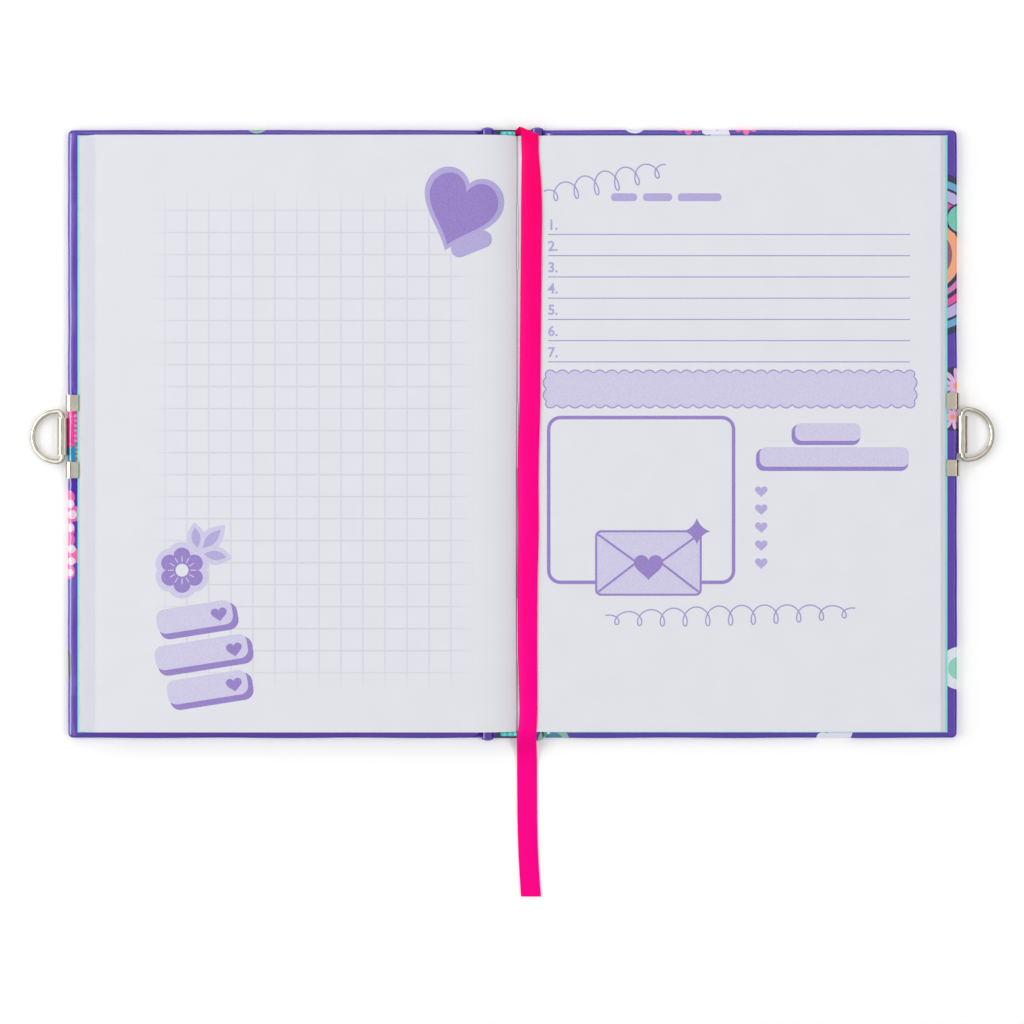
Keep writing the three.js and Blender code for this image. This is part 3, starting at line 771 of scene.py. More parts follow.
def paper_material(name, light="#E4E5EB", dark="#DFE0E6", grid=None):
    """Uncoated paper: nearly white, faintly mottled, with a soft tooth. A grid is given as its
    pitch, line width, first line, and the middle and half size of the field that it fades out of."""
    made, tree, shader = start_material(name, Roughness=0.8, Specular_IOR_Level=0.12)
    place = add(tree, "UVMap", uv_map="sheet")
    cloud = add(tree, "TexNoise", {"Vector": place, "Scale": 0.09, "Detail": 5.0})
    tint = add(tree, "Mix", {0: cloud, 6: srgb(dark), 7: srgb(light)}, data_type="RGBA")
    tooth = add(tree, "TexNoise", {"Vector": place, "Scale": 1.8, "Detail": 6.0})
    if grid:
        pitch, width, first, middle, half = grid
        offset = add(tree, "VectorMath", {0: place, 1: (*first, 0)}, operation="SUBTRACT")
        from_line = add(tree, "SeparateXYZ", {0: offset}).node.outputs
        offset = add(tree, "VectorMath", {0: place, 1: (*middle, 0)}, operation="SUBTRACT")
        offset = add(tree, "VectorMath", {0: offset}, operation="ABSOLUTE")
        from_middle = add(tree, "SeparateXYZ", {0: offset}).node.outputs
        ruled = 0.0
        for axis in ("X", "Y"):
            near = add(tree, "Math", {0: from_line[axis], 1: pitch / 2}, operation="PINGPONG")
            line = {0: near, 1: width * 0.3, 2: width * 0.8, 3: 1.0, 4: 0.0}
            ruled = add(tree, "Math", {0: ruled, 1: add(tree, "MapRange", line)}, operation="MAXIMUM")
        for axis, end in zip(("X", "Y"), half):
            fade = {0: from_middle[axis], 1: end - GRID_FADE, 2: end, 3: 1.0, 4: 0.0}
            ruled = add(tree, "Math", {0: ruled, 1: add(tree, "MapRange", fade)}, operation="MULTIPLY")
        tint = add(tree, "Mix", {0: ruled, 6: tint, 7: srgb(GRID_COLOUR)}, data_type="RGBA")
    dress(tree, shader, tint, tooth, 0.12, 0.00004)
    return made


plain_paper = paper_material("wood-free paper")
# Some signatures' papers are tinted a little rosy and some a little cool. The tints are painted
# shade: they stand in for the faint shading that sets off the steps of the fanned fore-edge.
rosy_paper = paper_material("wood-free paper, rosy", "#EAE5EA", "#E4DFE4")
cool_paper = paper_material("wood-free paper, cool", "#E4E5ED", "#DEE0E8")
grid_paper = paper_material(
    "wood-free paper printed with a grid",
    grid=(7.2, 0.4, (-113.7, 72.96), (-65.1, -2.3), (53.0, 82.0)),
)
flyleaf_paper = grained(
    "aqua endpaper",
    ("#A5DCDA", "#BCE8E6"),
    {"Scale": 1 / FIBRE, "Detail": 6.0},
    sheet=True,
    Roughness=0.75,
)


def heights(node):
    """Lower and upper height of a packet above the cover."""
    low, high = corners(node)
    return low[2] - COVER_TOP, high[2] - COVER_TOP


packets = [
    ("signature_1", -1, "left_packet_1", rosy_paper),
    ("signature_2", -1, "left_packet_2", cool_paper),
    ("signature_3", -1, "left_packet_3", plain_paper),
    ("signature_4", -1, "left_packet_4", cool_paper),
    ("signature_5_left", -1, "left_packet_5", grid_paper),
    ("signature_6", 1, "right_packet_1", plain_paper),
    ("signature_5_right", 1, "right_packet_2", plain_paper),
]
for node, side, body, paper in packets:
    low, high = heights(node)
    shape = leaves(side, low, high)
    made = piece(node + "_leaves", shape, paper, uv=shape[0])
    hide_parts(node, node + "_fold")
    bend_at_fold(made)
for cover, side, body in (("front", -1, "left_packet_1"), ("back", 1, "right_packet_1")):
    low, high = corners(cover + "_flyleaf")
    x = np.linspace(low[0], high[0], 12)
    y = np.linspace(low[1], high[1], 8)[:, None]
    shape = slab(points_of(x, y, high[2]), points_of(x, y, low[2]))
    made = piece(cover + "_flyleaf_sheet", shape, flyleaf_paper, uv=shape[0])
    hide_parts(cover + "_flyleaf")
    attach(made, body)
PAGE_ROWS = 40
PAGE_COLUMNS = 46
# The left page is made in two pieces, split at the step of the fold where the leaf is free to
# turn over: its sewn margin and the page beyond. Neither is attached to a body.
FREE_STEP = 12
low, high = heights("left_leaf")
left_page_height = high - LEAF_GAP
fore_edge = HALF_BLOCK + PAGE_LENGTH - FORE_EDGE_FALL * (low + high) / 2
top, bottom = leaf_arrays(
    -1, low + LEAF_GAP, left_page_height, fore_edge, PAGE_ROWS, PAGE_COLUMNS
)
points, faces = slab(top[:, : FREE_STEP + 1], bottom[:, : FREE_STEP + 1])
margin = piece("left_page_margin", (points, faces[:, ::-1]), plain_paper, uv=points)
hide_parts("left_leaf_fold")
bend_at_fold(margin)
points, faces = slab(top[:, FREE_STEP:], bottom[:, FREE_STEP:])
left_page = piece("left_page", (points, faces[:, ::-1]), grid_paper, uv=points)
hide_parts("left_leaf")
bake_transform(left_page)
low, high = heights("right_leaf")
shape = leaves(1, low, high, PAGE_ROWS, PAGE_COLUMNS)
right_page = piece("right_page", shape, plain_paper, uv=shape[0])
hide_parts("right_leaf", "right_leaf_fold")
bend_at_fold(right_page)
right_page_height = high - LEAF_GAP

# The folds of the signatures are held by a strip of gauze glued across them and by cotton thread,
# sewn through each fold along its inside. Three of its stitches show in the open fold.
GAUZE_PITCH = 0.8
gauze = grained(
    "spine gauze",
    ("#D9D4C8", "#EFEBE2"),
    {"Scale": 1 / (GAUZE_PITCH * MM) / 3, "Distortion": 1.0},
    wave="Y",
    Roughness=0.9,
)
frame["nodes"]["spine_cloth"].data.materials[0] = gauze


def heading(path, closed=False):
    """Unit vectors along a path, at each point from the one before it towards the one after it. An
    open path's ends have one neighbour each."""
    if closed:
        step = np.roll(path, -1, axis=0) - np.roll(path, 1, axis=0)
    else:
        step = np.gradient(path, axis=0)
    return step / np.linalg.norm(step, axis=1, keepdims=True)


def leftward(path, closed=False):
    """Unit vectors square to a path in a plane, to its left."""
    along = heading(path, closed)
    return points_of(-along[:, 1], along[:, 0])


def tube(path, radius, sides, closed=False, normal=(0, 0, 1)):
    """A round tube along a path: at each point a circle in the plane of the given normal and the
    direction square to both it and the path. The radius may change along the path and round it."""
    direction = heading(path, closed)
    out = np.cross(direction, normal)
    out /= np.linalg.norm(out, axis=1, keepdims=True)
    up = np.cross(out, direction)
    turn = np.linspace(0, 2 * np.pi, sides, endpoint=False)
    radius = np.broadcast_to(radius, (len(path), sides))[..., None]
    ring = np.cos(turn)[None, :, None] * out[:, None] + np.sin(turn)[None, :, None] * up[:, None]
    points = (path[:, None] + radius * ring).reshape(-1, 3)
    return points, grid_faces(len(path), sides, rows_close=closed, columns_close=True)


STITCH_RADIUS = 0.2
PLY_TWIST = 1.3
PLY_DEPTH = 0.25
THREAD_SIDES = 12
cotton = grained(
    "cotton thread",
    ("#DCDCE2", "#FAFAFC"),
    {"Scale": 2500.0, "Detail": 3.0},
    Roughness=0.8,
    Sheen_Weight=0.2,
)
for number in (1, 2, 3):
    node = f"sewing_stitch_{number}"
    low, high = corners(node)
    y = np.linspace(low[1] + 0.05, high[1] - 0.05, 110)
    middle = (low + high) / 2
    path = points_of(middle[0], y, middle[2])
    turn = np.linspace(0, 2 * np.pi, THREAD_SIDES, endpoint=False)
    strands = 1 - PLY_DEPTH * abs(np.sin(turn[None, :] + y[:, None] * 2 * np.pi / PLY_TWIST))
    taper = np.clip((1 - abs(np.linspace(-1, 1, len(y)))) * 30, 0, 1)[:, None]
    shape = tube(path, STITCH_RADIUS * strands * taper, THREAD_SIDES)
    thread = piece(f"thread_{number}", shape, cotton)
    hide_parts(node)
    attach(thread, "spine")

# The head and tail bands are a cotton bead wound with shiny aqua yarn, glued to the ends of the
# block's spine. The headband stops where the ribbon comes out, and the tailband under the ribbon.
WINDING_PITCH = 0.62
WINDING_DEPTH = 0.1
BEAD_SIDES = 28
BEAD_ROUND = 0.4
BAND_ENDS = {"headband": 0.9, "tailband": 1.5}
band_yarn = grained(
    "aqua band yarn",
    ("#1FB4BA", "#67DFDB"),
    {"Scale": 1 / (WINDING_PITCH * MM) / 9, "Distortion": 1.5, "Detail Scale": 3.0},
    wave="X",
    Roughness=0.45,
    Sheen_Weight=0.3,
)
for band, last in BAND_ENDS.items():
    low, high = corners(band)
    middle = (low + high) / 2
    radius = (high[2] - low[2]) / 2
    x = np.linspace(low[0], last, 150)
    path = points_of(x, middle[1], middle[2])
    turn = np.linspace(0, 2 * np.pi, BEAD_SIDES, endpoint=False)
    wound = abs(np.cos(np.pi * x[:, None] / WINDING_PITCH + turn[None, :] / 2))
    winding = 1 - WINDING_DEPTH + WINDING_DEPTH * wound
    from_end = np.minimum(x - x[0], x[-1] - x)
    ends = np.sqrt(1 - (1 - np.clip(from_end / BEAD_ROUND, 0, 1)) ** 2)
    shape = tube(path, radius * winding * ends[:, None], BEAD_SIDES)
    made = piece("wound_" + band, shape, band_yarn, crease=70)
    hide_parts(band)
    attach(made, "spine")

# Lilac ink on the open spread. Each figure is a skin of ink on the paper: a heart, a daisy and a
# stack of blank labels on the left; ruled and numbered lines, a scalloped banner, a rounded frame
# with an envelope, labels, heart bullets and pen flourishes on the right.
INK_THICKNESS = 0.006
INK_LAYER = 0.008

# Offset ink on uncoated paper: the paper's tooth breaks it into a fine grain
inks = {
    name: grained(
        full_name,
        colours,
        {"Scale": 1900.0, "Detail": 4.0},
        spread=(0.35, 0.65),
        Roughness=0.8,
        Specular_IOR_Level=0.2,
    )
    for name, full_name, colours in (
        ("deep", "deep lilac ink", ("#9C88C9", "#927DC2")),
        ("line", "line lilac ink", ("#A79FD2", "#9B92CA")),
        ("soft", "soft lilac ink", ("#B7AEDC", "#AFA5D6")),
        ("pale", "pale lilac ink", ("#D3CFE8", "#C9C5E1")),
        ("white", "paper white", ("#E4E4EB", "#DFDFE7")),
    )
}


def page_height(x):
    """Height of the open pages at x: an ellipse's rise near the spine, and flat beyond it."""
    height = np.where(x < 0, left_page_height, right_page_height)
    from_flat = HALF_BLOCK + FOLD_SPREAD * height - abs(x)
    share = np.clip(from_flat / ((1 + FOLD_SPREAD) * height), 0, 1)
    return COVER_TOP + height * np.sqrt(1 - share**2)


def filled(outline, layer, rings=7):
    """A thin closed skin inside an outline that can be seen whole from its middle: rings of points
    shrink from the outline to its middle, above and below."""
    middle = outline.mean(axis=0)
    grow = np.linspace(0, 1, rings)[:, None, None]
    x, y = np.moveaxis(middle + (outline - middle) * grow, -1, 0)
    low = page_height(x) + INK_LAYER * layer
    points = np.concatenate([points_of(x, y, low + INK_THICKNESS), points_of(x, y, low)[::-1]])
    faces = grid_faces(2 * rings, len(outline), columns_close=True)
    return points.reshape(-1, 3), faces[:, ::-1]


def inset(outline, width):
    """A closed outline that runs anticlockwise, moved inwards along its normals."""
    return outline + leftward(outline, True) * width


def outlined(outer, inner, layer):
    """A thin closed band between two outlines of as many points."""
    rows = []
    for edge, lift in ((outer, 0), (inner, 0), (inner, 1), (outer, 1)):
        x, y = edge.T
        rows.append(points_of(x, y, page_height(x) + INK_LAYER * layer + INK_THICKNESS * lift))
    faces = grid_faces(4, len(outer), rows_close=True, columns_close=True)
    return np.array(rows).reshape(-1, 3), faces


def stroke(path, width, layer, climb=0.0):
    """A thin closed strip of ink along an open path. It climbs evenly by some millimetres, so that
    where the path crosses itself one run lies over the other."""
    left = leftward(path) * width / 2
    x, y = np.moveaxis(np.stack([path + left, path - left]), -1, 0)
    low = page_height(x) + INK_LAYER * layer + climb * np.linspace(0, 1, len(path))
    points, faces = slab(points_of(x, y, low + INK_THICKNESS), points_of(x, y, low))
    return points, faces[:, ::-1]


def turned(outline, degrees, centre):
    """An outline turned about its origin and moved to its centre."""
    a = np.radians(degrees)
    return outline @ np.array([[np.cos(a), np.sin(a)], [-np.sin(a), np.cos(a)]]) + centre


def heart(width, notch=1.0, count=120):
    """The curve x = 16 sin^3 t, y = 13 cos t - 5 cos 2t - 2 cos 3t - cos 4t, 32 units wide, with
    its notch filled by so many units and its point blunted by 1.6, each under a bell curve."""
    t = -np.linspace(0, 2 * np.pi, count, endpoint=False)
    from_notch = np.minimum(abs(t), 2 * np.pi - abs(t))
    y = 13 * np.cos(t) - 5 * np.cos(2 * t) - 2 * np.cos(3 * t) - np.cos(4 * t)
    y += notch * np.exp(-((from_notch / 0.55) ** 2)) + 1.6 * np.exp(-(((np.pi - abs(t)) / 0.4) ** 2))
    return points_of(16 * np.sin(t) ** 3, y) * width / 32


def daisy(radius, petals, depth):
    """A circle drawn in between petals: radius times (1 - depth + depth times the absolute value of
    cos(petals t / 2) to the power 0.6)."""
    t = np.linspace(0, 2 * np.pi, 160, endpoint=False)
    r = radius * (1 - depth + depth * abs(np.cos(petals * t / 2)) ** 0.6)
    return points_of(r * np.cos(t), r * np.sin(t))


def rounded_box(width, height, radius, side_steps=12):
    """A rectangle with quarter circles for corners, as points that run anticlockwise."""
    a = np.linspace(0, np.pi / 2, 8)
    points = []
    for quarter, (sx, sy) in enumerate(((1, 1), (-1, 1), (-1, -1), (1, -1))):
        centre = np.array([sx * (width / 2 - radius), sy * (height / 2 - radius)])
        angle = a + quarter * np.pi / 2
        points.append(centre + radius * points_of(np.cos(angle), np.sin(angle)))
    corners_only = np.concatenate(points)
    after = np.roll(corners_only, -1, axis=0)
    rows = []
    for first, second in zip(corners_only, after):
        long = np.linalg.norm(second - first) > radius
        cuts = side_steps if long else 1
        rows.append(first + (second - first) * np.arange(cuts)[:, None] / cuts)
    return np.concatenate(rows)


def scalloped(width, height, bump, pitch):
    """A rectangle whose edge swells outwards in half-round bumps of the given pitch, and the same
    rectangle 1 mm further in without them."""
    box = rounded_box(width - 2 * bump, height - 2 * bump, 1.2, side_steps=60)
    reach = np.concatenate([[0], np.cumsum(np.linalg.norm(np.diff(box, axis=0), axis=1))])
    total = reach[-1] + np.linalg.norm(box[0] - box[-1])
    at = np.linspace(0, total, 720, endpoint=False)
    closed = np.concatenate([box, box[:1]])
    reach = np.append(reach, total)
    line = points_of(*(np.interp(at, reach, column) for column in closed.T))
    inward = leftward(line, True)
    bumps = round(total / pitch)
    swell = bump * abs(np.sin(np.pi * bumps * at / total)) ** 0.7
    return line - inward * swell[:, None], line + inward


def leaf_outline(length, width):
    """Two arcs that meet in a point at each end: half width times sin(pi t), along the length."""
    t = np.linspace(0, 1, 30, endpoint=False)
    there = points_of(t * length, -width / 2 * np.sin(np.pi * t))
    back = points_of((1 - t) * length, width / 2 * np.sin(np.pi * t))
    return np.concatenate([there, back])


def print_figures(figures, body):
    """Each figure is a piece's name, its ink and its shapes. It rides on the leaf it is printed on."""
    for name, ink, parts in figures:
        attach(piece(name, joined(parts), inks[ink]), body)


# The left page. The heart reaches into the fold, so it has more rings and lies a few skins higher
HEART_CENTRE = (-17.0, 73.8)
HEART_TILT = -20
HEART_STRETCH = (1, 1.17)
HEART_RINGS = 22
big_hearts = [
    turned(heart(width, notch) * HEART_STRETCH, HEART_TILT, HEART_CENTRE)
    for width, notch in ((26.6, 3.6), (22.9, 1.0))
]
heart_label = turned(rounded_box(14.0, 5.6, 2.7), 22, (-13.4, 62.0))
DAISY_CENTRE = np.array([-108.1, -44.7])
daisy_rim, daisy_petals = [
    turned(daisy(radius, 6, depth), 90, DAISY_CENTRE) for radius, depth in ((9.2, 0.13), (7.4, 0.3))
]
# A ray's ends from the daisy's middle, and its width
RAY_ENDS = (2.7, 4.6)
RAY_WIDTH = 0.32
ray = points_of(np.linspace(*RAY_ENDS, 4), 0.0)
LEAVES_FROM = DAISY_CENTRE + (5.2, 5.6)
# Each leaf's direction in degrees, its length and its width
SPRIG = ((97, 10.2, 6.0), (46, 12.8, 6.6), (-8, 11.4, 6.2))
sprig_rims = [turned(leaf_outline(long, wide), angle, LEAVES_FROM) for angle, long, wide in SPRIG]
sprig_leaves = [
    turned(leaf_outline(long * 0.66, wide * 0.5) + (long * 0.17, 0), angle, LEAVES_FROM)
    for angle, long, wide in SPRIG
]
LABEL_TILT = 9
# Each label's middle and its size
LABELS = (
    (np.array([-104.0, -60.0]), (26.0, 9.0)),
    (np.array([-101.8, -71.5]), (31.5, 9.0)),
    (np.array([-99.8, -83.0]), (27.5, 9.0)),
)
label_shadows = [
    turned(rounded_box(w, h, 3.2), LABEL_TILT, middle + (1.3, -1.3)) for middle, (w, h) in LABELS
]
label_faces = [
    turned(rounded_box(w - 1.0, h - 1.0, 2.8), LABEL_TILT, middle) for middle, (w, h) in LABELS
]
label_hearts = [
    turned(heart(5.2), LABEL_TILT, middle + (w / 2 - 5, 1.0)) for middle, (w, _) in LABELS
]
print_figures(
    [
        ("heart_label", "soft", [filled(heart_label, 1, HEART_RINGS)]),
        ("heart_border", "soft", [filled(big_hearts[0], 3, HEART_RINGS)]),
        ("heart_fill", "deep", [filled(big_hearts[1], 6, HEART_RINGS)]),
        (
            "daisy_border",
            "pale",
            [filled(rim, layer) for layer, rim in enumerate((*sprig_rims, daisy_rim), 1)],
        ),
        ("daisy_leaves", "soft", [filled(leaf, 5) for leaf in sprig_leaves]),
        ("daisy_petals", "deep", [filled(daisy_petals, 6)]),
        (
            "daisy_rays",
            "pale",
            [stroke(turned(ray, angle, DAISY_CENTRE), RAY_WIDTH, 7) for angle in range(0, 360, 30)],
        ),
        ("daisy_eye", "white", [filled(daisy(2.1, 1, 0.0) + DAISY_CENTRE, 7)]),
        ("label_shadows", "deep", [filled(shadow, 1) for shadow in label_shadows]),
        ("label_faces", "pale", [filled(face, 2) for face in label_faces]),
        ("label_hearts", "deep", [filled(small, 3) for small in label_hearts]),
    ],
    "turning_leaf",
)

# The right page. Its rules are numbered in plain numerals, which stand a little above them
RULES = 65.4 - 6.97 * np.arange(7)
RULE_ENDS = (11.7, 130.4)
RULE_WIDTH = 0.34
rules = [points_of(np.linspace(*RULE_ENDS, 9), y) for y in RULES]
print_figures(
    [("ruled_lines", "line", [stroke(rule, RULE_WIDTH, 1) for rule in rules])], "right_packet_2"
)
NUMBER_SIZE = 4.624
NUMBER_WEIGHT = 0.12
NUMBER_LEFT = 11.6
NUMBER_RISE = 1.6
number_height = page_height(20.0) + INK_LAYER * 1.5
for number, y in enumerate(RULES, 1):
    text = bpy.data.curves.new(f"number_{number}", "FONT")
    text.body = f"{number}."
    text.size = NUMBER_SIZE * MM
    text.extrude = INK_THICKNESS / 2 * MM
    text.offset = NUMBER_WEIGHT * MM
    written = bpy.data.objects.new("writing", text)
    scene.collection.objects.link(written)
    bpy.context.view_layer.update()
    mesh = bpy.data.meshes.new_from_object(written)
    bpy.data.objects.remove(written)
    places = np.empty(len(mesh.vertices) * 3)
    mesh.vertices.foreach_get("co", places)
    places = places.reshape(-1, 3) + np.array([NUMBER_LEFT, y + NUMBER_RISE, number_height]) * MM
    mesh.vertices.foreach_set("co", places.ravel())
    mesh.materials.clear()
    mesh.materials.append(inks["soft"])
    numeral = bpy.data.objects.new(f"number_{number}", mesh)
    scene.collection.objects.link(numeral)
    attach(numeral, "right_packet_2")


def flourish(start, end, loops, height, count=260):
    """A pen's run of loops from start to end: along the line it moves as s + 0.3 / loops times the
    sine of the loops' angle, and across it as the cosine, swelling and fading at the ends."""
    s = np.linspace(0, 1, count)
    start = np.array(start)
    line = np.array(end) - start
    across = np.array([-line[1], line[0]]) / np.linalg.norm(line)
    swing = 2 * np.pi * loops * s
    size = height / 2 * (0.35 + 0.65 * np.sin(np.pi * s) ** 0.5)
    forward = s + 0.3 / loops * np.sin(swing)
    return start + forward[:, None] * line + (size * np.cos(swing))[:, None] * across


BANNER_CENTRE = (71.4, 14.7)
BANNER_SIZE = np.array([123.0, 12.8])
SCALLOP_DEPTH = 1.1
SCALLOP_PITCH = 4.1
BANNER_LINE = 0.42
banner_edges = scalloped(*BANNER_SIZE, SCALLOP_DEPTH, SCALLOP_PITCH)
banner, banner_inside = [edge + BANNER_CENTRE for edge in banner_edges]
banner_field = rounded_box(*(BANNER_SIZE - 3 * SCALLOP_DEPTH), 1.0) + BANNER_CENTRE
FRAME_CORNER = 4.4
FRAME_LINE = 1.15
rounded_frame = rounded_box(61.8, 55.2, FRAME_CORNER, side_steps=20) + (42.2, -21.7)
ENVELOPE_CENTRE = np.array([44.6, -42.4])
ENVELOPE_SIZE = np.array([35.0, 21.5])
envelope = rounded_box(*ENVELOPE_SIZE, 2.0) + ENVELOPE_CENTRE
envelope_face = rounded_box(*(ENVELOPE_SIZE - 1.4), 1.5) + ENVELOPE_CENTRE
flap = np.array([[-16.6, 9.4], [0, -2.6], [16.6, 9.4]]) + ENVELOPE_CENTRE
flap = np.concatenate([np.linspace(flap[0], flap[1], 9), np.linspace(flap[1], flap[2], 9)[1:]])
lower_folds = [
    np.linspace(ENVELOPE_CENTRE + (s * 16.4, -9.4), ENVELOPE_CENTRE + (s * 3.4, 0.6), 8)
    for s in (-1, 1)
]
FOLD_LINE = 0.7
t = np.linspace(0, 2 * np.pi, 96, endpoint=False)
sparkle = points_of(np.cos(t) ** 3, np.sin(t) ** 3) * 4.6 + (60.5, -32.0)
# Each bar's middle and its size
BARS = (((103.5, 0.6), (22.5, 6.8)), ((105.6, -7.6), (50.0, 7.4)))
bar_shadows = [rounded_box(w, h, 2.6) + middle + (-0.7, -0.9) for middle, (w, h) in BARS]
bar_faces = [rounded_box(w - 1.0, h - 1.0, 2.2) + middle for middle, (w, h) in BARS]
bullets = [heart(4.1, count=60) + (81.6, -18.8 - 5.9 * row) for row in range(5)]
# Each word's bar: its middle and its width
WORDS = ((36.6, 8.6), (47.6, 9.6), (61.4, 14.4))
words = [rounded_box(width, 2.6, 1.2) + (x, 77.6) for x, width in WORDS]
PEN_WIDTH = 0.42
PEN_CLIMB = 0.03
heading_pen = flourish((10.6, 78.2), (50.5, 87.0), 6, 7.2)
closing_pen = flourish((30.5, -60.8), (112.5, -58.4), 11, 6.4, 420)
print_figures(
    [
        ("banner_fill", "pale", [outlined(banner, banner_inside, 1), filled(banner_field, 2)]),
        ("banner_line", "line", [outlined(banner, inset(banner, BANNER_LINE), 3)]),
        ("frame_line", "deep", [outlined(rounded_frame, inset(rounded_frame, FRAME_LINE), 1)]),
        ("envelope_line", "deep", [filled(envelope, 2)]),
        ("envelope_face", "pale", [filled(envelope_face, 3)]),
        (
            "envelope_folds",
            "deep",
            [stroke(fold, FOLD_LINE, layer) for layer, fold in enumerate((flap, *lower_folds), 4)],
        ),
        ("envelope_seal", "deep", [filled(heart(9.6) + ENVELOPE_CENTRE + (0, -1.0), 7)]),
        ("sparkle", "deep", [filled(sparkle, 8)]),
        ("bar_shadows", "deep", [filled(shadow, 1) for shadow in bar_shadows]),
        ("bar_faces", "pale", [filled(face, 2) for face in bar_faces]),
        ("heart_bullets", "soft", [filled(bullet, 1) for bullet in bullets]),
        ("heading_flourish", "line", [stroke(heading_pen, PEN_WIDTH, 1, PEN_CLIMB)]),
        ("subheading_bars", "soft", [filled(word, 1) for word in words]),
        ("closing_flourish", "line", [stroke(closing_pen, PEN_WIDTH, 1, PEN_CLIMB)]),
    ],
    "right_packet_2",
)

# The clasp plates are nickel-plated steel sheet, 0.6 mm thick: a base let into the cover, two bands
# folded round the fore-edge, and a tongue rolled into a knuckle between them.
SHEET = 0.6
BAND_WIDTH = 5.3
BAND_SPACING = 22.0
BAND_FOOT = 6.0
PLATE_DEPTH = 12.0
STAND_OFF = 0.25
KNUCKLE_RADIUS = 1.7
KNUCKLE_LENGTH = 12.2
SHEET_ROUND = 0.12
TOP_BEND = 1.7
FOOT_BEND = 0.75
BASE_MIDDLE = corners("back_clasp_plate")[0][2] + SHEET / 2
BAND_TOP = COVER_TOP + GLUE_LINE + SHEET / 2
BAND_TIP = HALF_BLOCK + PAGE_LENGTH + 0.15

nickel, tree, shader = start_material("nickel plate", Metallic=1.0)
metres = add(tree, "TexCoord", output="Object")
wear = add(tree, "TexNoise", {"Vector": metres, "Scale": 420.0, "Detail": 6.0})
tone = add(tree, "Mix", {0: wear, 6: srgb("#AEA798"), 7: srgb("#C2BCAE")}, data_type="RGBA")
polish = add(tree, "MapRange", {0: wear, 1: 0.3, 2: 0.7, 3: 0.12, 4: 0.22})
tree.links.new(polish, shader.inputs["Roughness"])
scratch = add(tree, "TexNoise", {"Vector": metres, "Scale": 1500.0, "Detail": 3.0})
dress(tree, shader, tone, scratch, 0.03, 0.00005)


def folded(path, half_width, middle_y, side):
    """Sheet metal bent along a path in X and Z and run along Y: the path moved half a sheet to each
    side along its normals."""
    y = middle_y + np.linspace(-half_width, half_width, 5)[:, None]
    layers = []
    for offset in (SHEET / 2, -SHEET / 2):
        x, z = (path + leftward(path) * offset).T
        layers.append(points_of(side * x, y, z))
    points, faces = slab(*layers)
    return points, faces if side > 0 else faces[:, ::-1]


def arc(x, z, radius, first, last, steps):
    """Points of an arc about (x, z), from one angle to another in degrees."""
    a = np.radians(np.linspace(first, last, steps))
    return points_of(x + radius * np.cos(a), z + radius * np.sin(a))


for cover, side in sides.items():
    knuckle_x, clasp_y, knuckle_z = clasp_places[cover] * (side, 1, 1)
    wall = COVER_REACH + STAND_OFF + SHEET / 2
    band_path = np.concatenate([
        np.array([[wall - BAND_FOOT, BASE_MIDDLE], [wall - 3.0, BASE_MIDDLE]]),
        arc(wall - FOOT_BEND, BASE_MIDDLE + FOOT_BEND, FOOT_BEND, -90, 0, 9),
        arc(wall - TOP_BEND, BAND_TOP - TOP_BEND, TOP_BEND, 0, 90, 14),
        np.array([[wall - 2.5, BAND_TOP], [BAND_TIP, BAND_TOP]]),
    ])
    roll_radius = KNUCKLE_RADIUS - SHEET / 2
    roll_path = np.concatenate([
        np.array([[wall - 2.0, BASE_MIDDLE], [knuckle_x - 1.2, BASE_MIDDLE]]),
        arc(knuckle_x, knuckle_z, roll_radius, -90, 232, 44),
    ])
    base_x = np.array([COVER_REACH - PLATE_DEPTH, wall - 5, wall - 1.2])
    base_path = points_of(base_x, BASE_MIDDLE)
    parts = [
        folded(band_path, BAND_WIDTH / 2, clasp_y - BAND_SPACING / 2, side),
        folded(band_path, BAND_WIDTH / 2, clasp_y + BAND_SPACING / 2, side),
        folded(roll_path, KNUCKLE_LENGTH / 2, clasp_y, side),
        folded(base_path, (BAND_SPACING + BAND_WIDTH) / 2, clasp_y, side),
    ]
    plate = piece(cover + "_clasp", joined(parts), nickel, crease=40)
    edge = plate.modifiers.new("rounded edges", "BEVEL")
    edge.width = SHEET_ROUND * MM
    edge.segments = 3
    edge.limit_method = "ANGLE"
    edge.angle_limit = np.radians(50)
    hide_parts(cover + "_clasp_plate")
    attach(plate, cover + "_cover")

# Each D-ring is 1.5 mm nickel-plated wire: a straight bar inside the knuckle, two tight corners and
# a half-round bow that leans on the table.
WIRE_RADIUS = 0.75
BOW_RADIUS = 8.3
RING_CORNER = 1.7
RING_CLEARANCE = 0.03
for cover, side in sides.items():
    bar_half = BOW_RADIUS - RING_CORNER
    path = np.concatenate([
        arc(RING_CORNER, bar_half, RING_CORNER, 180, 90, 14)[:-1],
        arc(RING_CORNER, 0, BOW_RADIUS, 90, -90, 70)[:-1],
        arc(RING_CORNER, -bar_half, RING_CORNER, -90, -180, 14),
        np.array([[0, y] for y in np.linspace(-bar_half, bar_half, 9)[1:-1]]),
    ])
    knuckle = clasp_places[cover]
    drop = knuckle[2] - WIRE_RADIUS - RING_CLEARANCE
    lean = np.arcsin(drop / (BOW_RADIUS + RING_CORNER))
    path = points_of(path[:, 0] * np.cos(lean), path[:, 1], -path[:, 0] * np.sin(lean))
    path = path * (side, 1, 1) + knuckle
    normal = (side * np.sin(lean), 0, np.cos(lean))
    ring = piece(cover + "_ring_wire", tube(path, WIRE_RADIUS, 24, True, normal), nickel)
    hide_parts(cover + "_d_ring")
    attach(ring, cover + "_ring")

